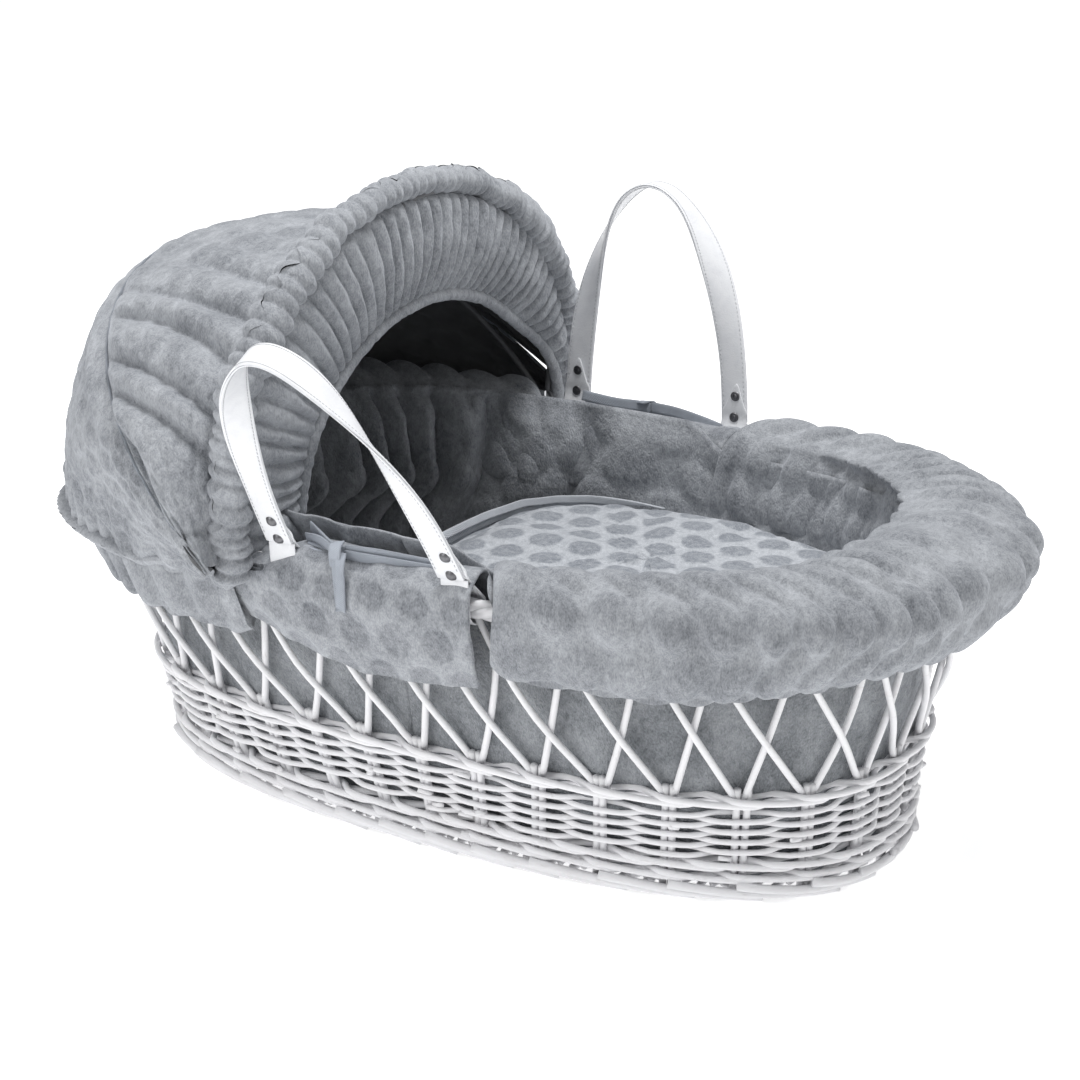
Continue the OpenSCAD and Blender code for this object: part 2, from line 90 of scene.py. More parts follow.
def mix(a: float, b: float, share: float) -> float:
    """The number that lies a share of the way from a to b."""
    return a + (b - a) * share


def wander(x: float, y: float = 0.0, z: float = 0.0) -> float:
    """Smooth noise from about -1 to 1 at a point."""
    return noise.noise(Vector((x, y, z)))


def pleat(x: float, sharp: float = 0.6) -> float:
    """A row of rounded folds of width 1 with narrow creases, from 0 in a crease to 1 on a crown."""
    return abs(math.cos(math.pi * x)) ** sharp


def at_x(points: Sequence[tuple[float, ...]], x: float) -> tuple[float, ...]:
    """Values read off a line of (x, value, ...) points.

    Args:
        points: The line's points, with x rising.
        x: Where to read it.

    Returns:
        The values at x, with a smooth step between points.
    """
    if x <= points[0][0]:
        return points[0][1:]
    for a, b in zip(points, points[1:]):
        if x <= b[0]:
            share = (x - a[0]) / (b[0] - a[0])
            return tuple(mix(p, q, share) for p, q in zip(a[1:], b[1:]))
    return points[-1][1:]


def curve_through(points: Sequence[Sequence[float]], share: float) -> Vector:
    """A point on a smooth line through given points.

    Args:
        points: Three or more points.
        share: How far along, from 0 to 1.

    Returns:
        The point there.
    """
    spot = clamp(share) * (len(points) - 1)
    i = min(int(spot), len(points) - 2)
    t = spot - i
    a, b, c, d = (Vector(points[clamp_index(i + k, len(points))]) for k in (-1, 0, 1, 2))
    return 0.5 * (2 * b + (c - a) * t + (2 * a - 5 * b + 4 * c - d) * t * t
                  + (3 * b - a - 3 * c + d) * t ** 3)


def clamp_index(i: int, count: int) -> int:
    """An index held inside a list."""
    return max(0, min(count - 1, i))


# ---------------------------------------------------------------- mesh making


@dataclass
class Maker:
    """Turns rules into finished meshes at the origin."""

    made: list[str] = field(default_factory=list)

    def put(self, name: str, mesh: bmesh.types.BMesh, smooth_faces: bool = True) -> bpy.types.Object:
        """Makes an object of a bmesh.

        Args:
            name: The piece's name.
            mesh: Its shape, which is freed.
            smooth_faces: Whether it is shaded smooth.

        Returns:
            The new object.
        """
        data = bpy.data.meshes.new(name)
        for face in mesh.faces:
            face.smooth = smooth_faces
        mesh.to_mesh(data)
        mesh.free()
        piece = bpy.data.objects.new(name, data)
        bpy.context.scene.collection.objects.link(piece)
        self.made.append(name)
        return piece

    def surface(self, name: str, steps: tuple[int, int], place: Place, cloth: tuple[float, float] = (1, 1),
                relief: Relief | None = None, closed: bool = False, flip: bool = False) -> bpy.types.Object:
        """A grid bent into shape by a rule, with its map in metres of cloth.

        Args:
            name: The piece's name.
            steps: Faces along u and v.
            place: Gives the point at (u, v), each from 0 to 1.
            cloth: Length of the cloth along u and v, for its map.
            relief: Height above the surface at (u, v), added along the normal.
            closed: Whether the shape closes on itself, so that its doubles are merged.
            flip: Whether an open sheet faces the other way.

        Returns:
            The new object.
        """
        mesh = bmesh.new()
        bmesh.ops.create_grid(mesh, x_segments=steps[0], y_segments=steps[1], size=0.5)
        layer = mesh.loops.layers.uv.new("UVMap")
        spots = {v: (v.co.x + 0.5, v.co.y + 0.5) for v in mesh.verts}
        for face in mesh.faces:
            for loop in face.loops:
                u, v = spots[loop.vert]
                loop[layer].uv = (u * cloth[0], v * cloth[1])
        for vert, (u, v) in spots.items():
            vert.co = place(u, v)
        lift = {v: relief(*spots[v]) for v in mesh.verts} if relief else {}
        if closed:
            bmesh.ops.remove_doubles(mesh, verts=mesh.verts, dist=1e-5)
            bmesh.ops.recalc_face_normals(mesh, faces=mesh.faces)
        elif flip:
            bmesh.ops.reverse_faces(mesh, faces=mesh.faces)
        mesh.normal_update()
        moves = [(v, v.normal * lift[v]) for v in mesh.verts if v in lift]
        for vert, move in moves:
            vert.co += move
        return self.put(name, mesh)

    def rods(self, name: str, runs: Iterable[list[tuple[Vector, float]]], width: float, sides: int = 8,
             ring: bool = False) -> bpy.types.Object:
        """Round rods swept along lines of points.

        Args:
            name: The piece's name.
            runs: Each rod as points with a share of the full thickness.
            width: The rods' diameter.
            sides: Faces round a rod, an even number from 4.
            ring: Whether each rod closes on itself.

        Returns:
            The new object, as a mesh.
        """
        curve = bpy.data.curves.new(name, "CURVE")
        curve.dimensions = "3D"
        curve.bevel_depth = width / 2
        curve.bevel_resolution = (sides - 4) // 2
        curve.use_fill_caps = True
        for run in runs:
            line = curve.splines.new("POLY")
            line.points.add(len(run) - 1)
            line.use_cyclic_u = ring
            for spot, (point, share) in zip(line.points, run):
                spot.co = (*point, 1)
                spot.radius = share
        holder = bpy.data.objects.new(name + "_line", curve)
        bpy.context.scene.collection.objects.link(holder)
        bpy.context.view_layer.update()
        view = bpy.context.evaluated_depsgraph_get()
        data = bpy.data.meshes.new_from_object(holder.evaluated_get(view))
        bpy.data.objects.remove(holder)
        mesh = bmesh.new()
        mesh.from_mesh(data)
        bpy.data.meshes.remove(data)
        bmesh.ops.remove_doubles(mesh, verts=mesh.verts, dist=1e-6)
        bmesh.ops.recalc_face_normals(mesh, faces=mesh.faces)
        return self.put(name, mesh)

    def ribbon(self, name: str, runs: Iterable["Ribbon"]) -> bpy.types.Object:
        """Flat strips with rounded edges, swept along their own lines.

        Args:
            name: The piece's name.
            runs: The strips.

        Returns:
            One object that holds them all.
        """
        whole = bmesh.new()
        whole.loops.layers.uv.new("UVMap")
        for run in runs:
            part = bmesh.new()
            bmesh.ops.create_grid(part, x_segments=run.steps, y_segments=len(RIBBON_EDGE), size=0.5)
            part.loops.layers.uv.new("UVMap")
            spots = {v: (v.co.x + 0.5, v.co.y + 0.5) for v in part.verts}
            part_layer = part.loops.layers.uv[0]
            length = run.length()
            for face in part.faces:
                for loop in face.loops:
                    u, v = spots[loop.vert]
                    loop[part_layer].uv = (u * length, v * 2 * run.width)
            frames = {}
            for vert, (u, v) in spots.items():
                key = round(u, 6)
                if key not in frames:
                    frames[key] = run.frame_at(u)
                centre, wide, thick, share = frames[key]
                x, y = RIBBON_EDGE[round(v * len(RIBBON_EDGE)) % len(RIBBON_EDGE)]
                vert.co = centre + wide * x * run.width / 2 * share + thick * y * run.thickness / 2
            bmesh.ops.remove_doubles(part, verts=part.verts, dist=1e-6)
            rims = [e for e in part.edges if e.is_boundary]
            bmesh.ops.holes_fill(part, edges=rims, sides=0)
            bmesh.ops.recalc_face_normals(part, faces=part.faces)
            data = bpy.data.meshes.new("strip")
            part.to_mesh(data)
            part.free()
            whole.from_mesh(data)
            bpy.data.meshes.remove(data)
        return self.put(name, whole)


RIBBON_EDGE = ((-0.94, -1), (-0.5, -1), (0, -1), (0.5, -1), (0.94, -1), (1, -0.5), (1, 0.5),
               (0.94, 1), (0.5, 1), (0, 1), (-0.5, 1), (-0.94, 1), (-1, 0.5), (-1, -0.5))


@dataclass
class Ribbon:
    """A strip of tape or leather along a line."""

    line: Callable[[float], Vector]
    across: Callable[[float], Vector]
    width: float
    thickness: float
    steps: int = 24
    lift: float = 0.0
    taper: Callable[[float], float] = lambda share: 1.0

    def length(self) -> float:
        """The strip's length."""
        points = [self.line(i / self.steps) for i in range(self.steps + 1)]
        return sum((b - a).length for a, b in zip(points, points[1:]))

    def frame_at(self, share: float) -> tuple[Vector, Vector, Vector, float]:
        """The strip's middle, width and thickness directions, and width share at a point along it.

        Args:
            share: How far along, from 0 to 1.

        Returns:
            The middle, the unit width direction, the unit thickness direction and the width share.
        """
        small = 1e-3
        ahead = (self.line(min(1, share + small)) - self.line(max(0, share - small))).normalized()
        wide = self.across(share)
        wide = (wide - ahead * wide.dot(ahead)).normalized()
        thick = ahead.cross(wide)
        return self.line(share) + thick * self.lift, wide, thick, self.taper(share)


def swell(piece: bpy.types.Object, pressure: float, most: float, slack: float = 0.0,
          held: Callable[[Vector], float] | None = None) -> None:
    """Blows a closed padded piece up with the cloth solver, and keeps the result.

    Args:
        piece: The piece, whose mesh is changed.
        pressure: How hard it is filled.
        most: The furthest a point may move.
        slack: Extra cloth as a share, which buckles into creases.
        held: How firmly a point is held, from 0 to 1.
    """
    scene = bpy.context.scene
    copy = bpy.data.objects.new("pad", piece.data.copy())
    scene.collection.objects.link(copy)
    cloth = copy.modifiers.new("cloth", "CLOTH")
    rules = cloth.settings
    rules.quality = 5
    rules.mass = 0.25
    rules.tension_stiffness = 18
    rules.compression_stiffness = 12
    rules.shear_stiffness = 6
    rules.bending_stiffness = 0.25
    rules.air_damping = 3
    rules.use_pressure = True
    rules.uniform_pressure_force = pressure
    rules.shrink_min = -slack
    rules.shrink_max = -slack
    rules.effector_weights.gravity = 0
    if held:
        group = copy.vertex_groups.new(name="held")
        for vert in copy.data.vertices:
            group.add([vert.index], held(vert.co), "REPLACE")
        rules.vertex_group_mass = "held"
    cloth.point_cache.frame_start = 1
    cloth.point_cache.frame_end = 20
    for step in range(1, 21):
        scene.frame_set(step)
    view = bpy.context.evaluated_depsgraph_get()
    shape = copy.evaluated_get(view).to_mesh()
    for vert, moved in zip(piece.data.vertices, shape.vertices):
        move = moved.co - vert.co
        if move.length > most:
            move *= most / move.length
        vert.co += move
    copy.evaluated_get(view).to_mesh_clear()
    bpy.data.objects.remove(copy)
    scene.frame_set(1)
    piece.data.update()


def soften(piece: bpy.types.Object, levels: int = 1) -> None:
    """Adds a subdivision surface that shows as it renders."""
    rounder = piece.modifiers.new("round", "SUBSURF")
    rounder.levels = levels
    rounder.render_levels = levels


def thicken(piece: bpy.types.Object, thickness: float, lining: int = 0) -> None:
    """Gives an open sheet a thickness on its back.

    Args:
        piece: The sheet.
        thickness: Its thickness.
        lining: How many material slots later the back's finish is.
    """
    wall = piece.modifiers.new("thick", "SOLIDIFY")
    wall.thickness = thickness
    wall.offset = -1
    wall.use_even_offset = False
    wall.material_offset = lining


# ---------------------------------------------------------------- finishes


class Wires:
    """Adds nodes to a shader tree in few words."""

    def __init__(self, tree: bpy.types.NodeTree) -> None:
        """Keeps the tree."""
        self.tree = tree

    def add(self, kind: str, **values: object) -> bpy.types.Node:
        """A new node with its settings.

        Args:
            kind: The node's type.
            values: Settings by attribute name.

        Returns:
            The node.
        """
        node = self.tree.nodes.new(kind)
        for key, value in values.items():
            setattr(node, key, value)
        return node

    def join(self, source: object, target: bpy.types.NodeSocket) -> None:
        """Links a socket, or sets a plain value.

        Args:
            source: A socket or a value.
            target: The socket that takes it.
        """
        if isinstance(source, bpy.types.NodeSocket):
            self.tree.links.new(source, target)
        else:
            target.default_value = source

    def sum(self, operation: str, *terms: object, clamped: bool = False) -> bpy.types.NodeSocket:
        """A maths node.

        Args:
            operation: The operation's name.
            terms: Sockets or numbers.
            clamped: Whether the result is held in 0 to 1.

        Returns:
            The result's socket.
        """
        node = self.add("ShaderNodeMath", operation=operation, use_clamp=clamped)
        for term, socket in zip(terms, node.inputs):
            self.join(term, socket)
        return node.outputs[0]

    def vector(self, operation: str, *terms: object) -> bpy.types.NodeSocket:
        """A vector maths node's main result, or its length for LENGTH.

        Args:
            operation: The node's operation.
            terms: Its sockets or values, in order.

        Returns:
            The result.
        """
        node = self.add("ShaderNodeVectorMath", operation=operation)
        for term, socket in zip(terms, node.inputs):
            self.join(term, socket)
        return node.outputs["Value"] if operation == "LENGTH" else node.outputs[0]

    def band(self, value: object, low: float, high: float, to_low: float = 0.0,
             to_high: float = 1.0) -> bpy.types.NodeSocket:
        """Maps a value from one range to another with a smooth step.

        Args:
            value: The value.
            low: Where the range starts.
            high: Where it ends.
            to_low: The result at its start.
            to_high: The result at its end.

        Returns:
            The result.
        """
        node = self.add("ShaderNodeMapRange", interpolation_type="SMOOTHSTEP")
        for term, socket in zip((value, low, high, to_low, to_high), node.inputs):
            self.join(term, socket)
        return node.outputs[0]

    def blend(self, share: object, a: object, b: object) -> bpy.types.NodeSocket:
        """A colour between two.

        Args:
            share: From 0 for the first to 1 for the second.
            a: The first colour.
            b: The second colour.

        Returns:
            The colour.
        """
        node = self.add("ShaderNodeMix", data_type="RGBA")
        self.join(share, node.inputs["Factor"])
        self.join(a, node.inputs[6])
        self.join(b, node.inputs[7])
        return node.outputs[2]

    def cloud(self, place: object, scale: float, detail: float = 3.0, swirl: float = 0.0,
              stretch: tuple[float, float, float] | None = None) -> bpy.types.NodeSocket:
        """Noise at a place.

        Args:
            place: The coordinates.
            scale: How fine it is.
            detail: How many finer layers it has.
            swirl: How distorted it is.
            stretch: A scale per axis, before the noise.

        Returns:
            A value round 0.5.
        """
        if stretch:
            place = self.vector("MULTIPLY", place, stretch)
        node = self.add("ShaderNodeTexNoise")
        self.join(place, node.inputs["Vector"])
        node.inputs["Scale"].default_value = scale
        node.inputs["Detail"].default_value = detail
        node.inputs["Distortion"].default_value = swirl
        return node.outputs["Fac"]


def new_group(name: str, inputs: Sequence[tuple[str, str, object]],
              outputs: Sequence[tuple[str, str]]) -> tuple[bpy.types.NodeTree, Wires, dict, dict]:
    """Starts a shader group.

    Args:
        name: Its name.
        inputs: Name, socket type and value of each input.
        outputs: Name and socket type of each output.

    Returns:
        The group, its wires, and its input and output sockets by name.
    """
    group = bpy.data.node_groups.new(name, "ShaderNodeTree")
    for label, kind, value in inputs:
        socket = group.interface.new_socket(label, in_out="INPUT", socket_type=kind)
        if value is not None:
            socket.default_value = value
    for label, kind in outputs:
        group.interface.new_socket(label, in_out="OUTPUT", socket_type=kind)
    wires = Wires(group)
    source = wires.add("NodeGroupInput")
    sink = wires.add("NodeGroupOutput")
    return (group, wires, {s.name: s for s in source.outputs if s.name},
            {s.name: s for s in sink.inputs if s.name})


VECTOR, COLOUR, NUMBER = "NodeSocketVector", "NodeSocketColor", "NodeSocketFloat"
FINISH_OUT = (("Color", COLOUR), ("Roughness", NUMBER), ("Height", NUMBER))


@dataclass(frozen=True)
class Dots:
    """The staggered round dots pressed into the plush."""

    pitch: float = 0.037
    row: float = 0.032
    radius: float = 0.0148

    def level(self, along: float, across: float) -> float:
        """How far a point of the cloth lies inside a dot.

        Args:
            along: Metres along the cloth.
            across: Metres across it.

        Returns:
            1 in a dot and 0 between them, with a rounded edge.
        """
        nearest = 1.0
        for shift in (0.0, 0.5):
            x = ((along / self.pitch + shift) % 1 - 0.5) * self.pitch
            y = ((across / (2 * self.row) + shift) % 1 - 0.5) * 2 * self.row
            nearest = min(nearest, math.hypot(x, y))
        return math.sqrt(max(0.0, 1 - (nearest / (self.radius * 1.06)) ** 2)) ** 0.8


DOTS = Dots()


def dot_group() -> bpy.types.NodeTree:
    """The shader's own reading of the dots, from the cloth's map.

    Returns:
        The group.
    """
    group, wires, given, out = new_group("pressed_dots", [("Cloth", VECTOR, None)], [("Dot", NUMBER)])
    cell = (DOTS.pitch, 2 * DOTS.row, 1.0)
    found = []
    for shift in (0.0, 0.5):
        share = wires.vector("ADD", wires.vector("DIVIDE", given["Cloth"], cell), (shift, shift, 0))
        centred = wires.vector("SUBTRACT", wires.vector("FRACTION", share), (0.5, 0.5, 0))
        flat = wires.vector("MULTIPLY", wires.vector("MULTIPLY", centred, cell), (1, 1, 0))
        found.append(wires.vector("LENGTH", flat))
    nearest = wires.sum("MINIMUM", *found)
    wires.join(wires.band(nearest, DOTS.radius * 0.8, DOTS.radius * 1.06, 1.0, 0.0), out["Dot"])
    return group


def pile_group() -> bpy.types.NodeTree:
    """Short brushed pile: fibres, brushed patches and a paler ground between the dots, partly the pressed
    pattern and partly a painted highlight along the ridges between them.

    Returns:
        The group.
    """
    group, wires, given, out = new_group(
        "plush_pile",
        [("Cloth", VECTOR, None), ("Place", VECTOR, None), ("Light", COLOUR, None), ("Dark", COLOUR, None),
         ("Dots", NUMBER, 1.0), ("Brushed", NUMBER, 1.0)], FINISH_OUT)
    dots = wires.add("ShaderNodeGroup")
    dots.node_tree = dot_group()
    wires.join(given["Cloth"], dots.inputs["Cloth"])
    shown = wires.sum("MULTIPLY", dots.outputs["Dot"], given["Dots"])
    patches = wires.band(wires.cloud(given["Place"], 20, 2), 0.36, 0.64)
    tufts = wires.cloud(given["Place"], 210, 2, 0.0, (1.0, 1.0, 0.75))
    fibres = wires.cloud(given["Place"], 900, 1, 0.0, (1.0, 1.0, 0.5))
    soft = wires.sum("MULTIPLY", wires.sum("SUBTRACT", patches, 0.5), given["Brushed"])
    tone = wires.sum("ADD", wires.sum("MULTIPLY", soft, 0.26), 0.60)
    tone = wires.sum("ADD", tone, wires.sum("MULTIPLY", wires.sum("SUBTRACT", tufts, 0.5), 0.75))
    tone = wires.sum("ADD", tone, wires.sum("MULTIPLY", wires.sum("SUBTRACT", fibres, 0.5), 0.85))
    # Darkens the dots against a paler ground: partly the pressed pattern, partly painted highlight on the
    # ridges between the dots.
    tone = wires.sum("SUBTRACT", tone, wires.sum("MULTIPLY", shown, 0.30), clamped=True)
    wires.join(wires.blend(tone, given["Dark"], given["Light"]), out["Color"])
    wires.join(wires.band(patches, 0.0, 1.0, 0.95, 0.78), out["Roughness"])
    height = wires.sum("ADD", wires.sum("MULTIPLY", tufts, 1.0), wires.sum("MULTIPLY", fibres, 0.55))
    wires.join(wires.sum("ADD", height, wires.sum("MULTIPLY", patches, 0.25)), out["Height"])
    return group


def paint_group() -> bpy.types.NodeTree:
    """Brushed white paint on willow, worn thin in random patches, with grain and small nodes.

    Returns:
        The group.
    """
    group, wires, given, out = new_group(
        "painted_willow", [("Place", VECTOR, None), ("Paint", COLOUR, None), ("Bare", COLOUR, None),
                           ("Wear", NUMBER, 0.3)], FINISH_OUT)
    streak = wires.cloud(given["Place"], 90, 4, 0.6, (1.0, 1.0, 3.0))
    stain = wires.cloud(given["Place"], 16, 3, 0.4)
    worn = wires.band(wires.cloud(given["Place"], 60, 6, 1.5), 0.66, 0.74)
    tone = wires.sum("MULTIPLY", wires.band(streak, 0.55, 0.8), 0.35)
    tone = wires.sum("ADD", tone, wires.sum("MULTIPLY", wires.band(stain, 0.45, 0.75), 0.2))
    tone = wires.sum("ADD", tone, wires.sum("MULTIPLY", worn, given["Wear"]), clamped=True)
    wires.join(wires.blend(tone, given["Paint"], given["Bare"]), out["Color"])
    wires.join(wires.band(streak, 0.3, 0.8, 0.38, 0.62), out["Roughness"])
    height = wires.sum("ADD", streak, wires.sum("MULTIPLY", worn, -0.4))
    wires.join(height, out["Height"])
    return group


def weave_group() -> bpy.types.NodeTree:
    """A plain weave of fine threads on the cloth's map.

    Returns:
        The group.
    """
    group, wires, given, out = new_group(
        "plain_weave", [("Cloth", VECTOR, None), ("Place", VECTOR, None), ("Light", COLOUR, None),
                        ("Dark", COLOUR, None), ("Thread", NUMBER, 0.0006)], FINISH_OUT)
    apart = wires.add("ShaderNodeSeparateXYZ")
    wires.join(given["Cloth"], apart.inputs[0])
    turn = wires.sum("DIVIDE", math.pi, given["Thread"])
    warp = wires.sum("SINE", wires.sum("MULTIPLY", apart.outputs["X"], turn))
    weft = wires.sum("SINE", wires.sum("MULTIPLY", apart.outputs["Y"], turn))
    over = wires.sum("MULTIPLY", warp, weft)
    shade = wires.cloud(given["Place"], 60, 3, 0.3)
    tone = wires.sum("ADD", wires.sum("MULTIPLY", over, 0.25), shade, clamped=True)
    wires.join(wires.blend(tone, given["Dark"], given["Light"]), out["Color"])
    wires.join(wires.band(over, -1.0, 1.0, 0.85, 0.7), out["Roughness"])
    wires.join(over, out["Height"])
    return group


def grain_group() -> bpy.types.NodeTree:
    """Fine pebbled leather with faint creases.

    Returns:
        The group.
    """
    group, wires, given, out = new_group(
        "fine_leather",
        [("Place", VECTOR, None), ("Light", COLOUR, None), ("Dark", COLOUR, None)], FINISH_OUT)
    cells = wires.add("ShaderNodeTexVoronoi")
    wires.join(given["Place"], cells.inputs["Vector"])
    cells.inputs["Scale"].default_value = 900
    crease = wires.cloud(given["Place"], 70, 5, 0.8)
    tone = wires.sum("ADD", wires.sum("MULTIPLY", cells.outputs["Distance"], 0.35),
                     wires.band(crease, 0.35, 0.75, 0.0, 0.6), clamped=True)
    wires.join(wires.blend(tone, given["Light"], given["Dark"]), out["Color"])
    wires.join(wires.band(crease, 0.3, 0.7, 0.32, 0.5), out["Roughness"])
    height = wires.sum("ADD", cells.outputs["Distance"], wires.sum("MULTIPLY", crease, 1.5))
    wires.join(height, out["Height"])
    return group


Colour = tuple[float, float, float]


def rgba(colour: Colour) -> tuple[float, float, float, float]:
    """A colour with full cover."""
    return (*colour, 1.0)


@dataclass(frozen=True)
class Finish:
    """A material made of a shader group and the shader's own values."""

    name: str
    group: str
    colours: dict[str, Colour]
    values: dict[str, float] = field(default_factory=dict)
    own: dict[str, float] = field(default_factory=dict)
    bump: float = 0.0004
    sheen_tint: Colour = (0.85, 0.88, 0.95)

    def build(self, groups: dict[str, bpy.types.NodeTree]) -> bpy.types.Material:
        """Makes the material.

        Args:
            groups: The shader groups by name.

        Returns:
            The material.
        """
        made = bpy.data.materials.new(self.name)
        made.use_nodes = True
        wires = Wires(made.node_tree)
        shader = made.node_tree.nodes["Principled BSDF"]
        look = wires.add("ShaderNodeGroup")
        look.node_tree = groups[self.group]
        place = wires.add("ShaderNodeTexCoord")
        if "Place" in look.inputs:
            wires.join(place.outputs["Object"], look.inputs["Place"])
        if "Cloth" in look.inputs:
            cloth = wires.add("ShaderNodeUVMap", uv_map="UVMap")
            wires.join(cloth.outputs[0], look.inputs["Cloth"])
        for key, colour in self.colours.items():
            look.inputs[key].default_value = rgba(colour)
        for key, value in self.values.items():
            look.inputs[key].default_value = value
        wires.join(look.outputs["Color"], shader.inputs["Base Color"])
        wires.join(look.outputs["Roughness"], shader.inputs["Roughness"])
        relief = wires.add("ShaderNodeBump")
        relief.inputs["Strength"].default_value = 1.0
        relief.inputs["Distance"].default_value = self.bump
        wires.join(look.outputs["Height"], relief.inputs["Height"])
        wires.join(relief.outputs[0], shader.inputs["Normal"])
        for key, value in self.own.items():
            shader.inputs[key].default_value = value
        shader.inputs["Sheen Tint"].default_value = rgba(self.sheen_tint)
        return made


PLUSH_LIGHT = (0.42, 0.436, 0.462)
PLUSH_DARK = (0.125, 0.134, 0.150)
SOFT_SHEEN = {"Sheen Weight": 0.35, "Sheen Roughness": 0.45, "Specular IOR Level": 0.15}

FINISHES = (
    Finish("white_willow", "paint", {"Paint": (0.80, 0.80, 0.82), "Bare": (0.62, 0.60, 0.60)},
           {"Wear": 0.35}, {"Specular IOR Level": 0.4}, 0.0006),
    Finish("dotted_plush", "pile", {"Light": PLUSH_LIGHT, "Dark": PLUSH_DARK},
           {"Dots": 0.40, "Brushed": 1.0}, SOFT_SHEEN, 0.0012),
    Finish("pressed_plush", "pile", {"Light": PLUSH_LIGHT, "Dark": PLUSH_DARK},
           {"Dots": 0.85, "Brushed": 0.8}, SOFT_SHEEN, 0.0009),
    Finish("coverlet_plush", "pile", {"Light": (0.56, 0.58, 0.61), "Dark": (0.19, 0.205, 0.23)},
           {"Dots": 1.5, "Brushed": 0.2}, SOFT_SHEEN, 0.0005),
    Finish("gathered_plush", "pile", {"Light": PLUSH_LIGHT, "Dark": PLUSH_DARK},
           {"Dots": 0.0, "Brushed": 1.0}, SOFT_SHEEN, 0.0010),
    Finish("long_pile", "pile", {"Light": (0.34, 0.355, 0.375), "Dark": (0.09, 0.10, 0.11)},
           {"Dots": 0.0, "Brushed": 1.2}, SOFT_SHEEN, 0.0022),
    # Dark grey that paints the shade inside the hood, on the panels' backs and on the hoops.
    Finish("lining_painted_shade", "weave", {"Light": (0.17, 0.173, 0.18), "Dark": (0.10, 0.103, 0.11)},
           {"Thread": 0.0005}, {"Sheen Weight": 0.15}, 0.0002),
    Finish("cotton_tape", "weave", {"Light": (0.43, 0.465, 0.52), "Dark": (0.27, 0.295, 0.34)},
           {"Thread": 0.0006}, {"Sheen Weight": 0.15}, 0.0002),
    Finish("pale_hem", "weave", {"Light": (0.62, 0.65, 0.69), "Dark": (0.42, 0.44, 0.48)},
           {"Thread": 0.0006}, {"Sheen Weight": 0.2}, 0.0002),
    Finish("white_jersey", "weave", {"Light": (0.84, 0.84, 0.83), "Dark": (0.70, 0.70, 0.69)},
           {"Thread": 0.0009}, {"Sheen Weight": 0.1}, 0.0003),
    Finish("cream_foam", "leather", {"Light": (0.86, 0.83, 0.74), "Dark": (0.70, 0.66, 0.56)},
           {}, {}, 0.0006),
    Finish("white_leather", "leather", {"Light": (0.80, 0.81, 0.83), "Dark": (0.70, 0.71, 0.74)},
           {}, {"Coat Weight": 0.12, "Coat Roughness": 0.3}, 0.00012),
    Finish("stitch_thread", "leather", {"Light": (0.52, 0.53, 0.55), "Dark": (0.42, 0.43, 0.45)},
           {}, {}, 0.0001),
    Finish("dark_nickel", "leather", {"Light": (0.20, 0.20, 0.21), "Dark": (0.14, 0.14, 0.15)},
           {}, {"Metallic": 1.0}, 0.00002),
    Finish("spring_wire", "leather", {"Light": (0.62, 0.63, 0.65), "Dark": (0.48, 0.49, 0.51)},
           {}, {"Metallic": 1.0}, 0.00004),
)


@dataclass
class Wardrobe:
    """Builds the finishes once and dresses pieces with them."""

    materials: dict[str, bpy.types.Material] = field(default_factory=dict)

    def stock(self) -> None:
        """Makes every group and material."""
        groups = {"paint": paint_group(), "pile": pile_group(),
                  "weave": weave_group(), "leather": grain_group()}
        self.materials = {finish.name: finish.build(groups) for finish in FINISHES}

    def dress(self, piece: bpy.types.Object, finish: str, body: str, slot: str,
              nodes: Sequence[str] = (), lining: str | None = None) -> bpy.types.Object:
        """Gives a piece its finish and its body, and hides the CAD nodes that it stands for.

        Args:
            piece: The piece.
            finish: The finish on its face.
            body: The body that it rides on, or "" for a piece between two, which is left on none.
            slot: Not used; the name of a material slot.
            nodes: The CAD nodes that it stands for.
            lining: The finish on its back.

        Returns:
            The piece.
        """
        piece.data.materials.append(self.materials[finish])
        if lining:
            piece.data.materials.append(self.materials[lining])
        if body:
            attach(piece, body)
        if nodes:
            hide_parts(*nodes)
        faces = len(piece.data.polygons)
        LOG.info("%s: %s, %d faces", piece.name, finish, faces)
        return piece

    def repaint(self, node: str, finish: str) -> None:
        """Gives a CAD node that stays shown its finish."""
        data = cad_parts[node].data
        data.materials.clear()
        data.materials.append(self.materials[finish])


# ---------------------------------------------------------------- the wall's shape


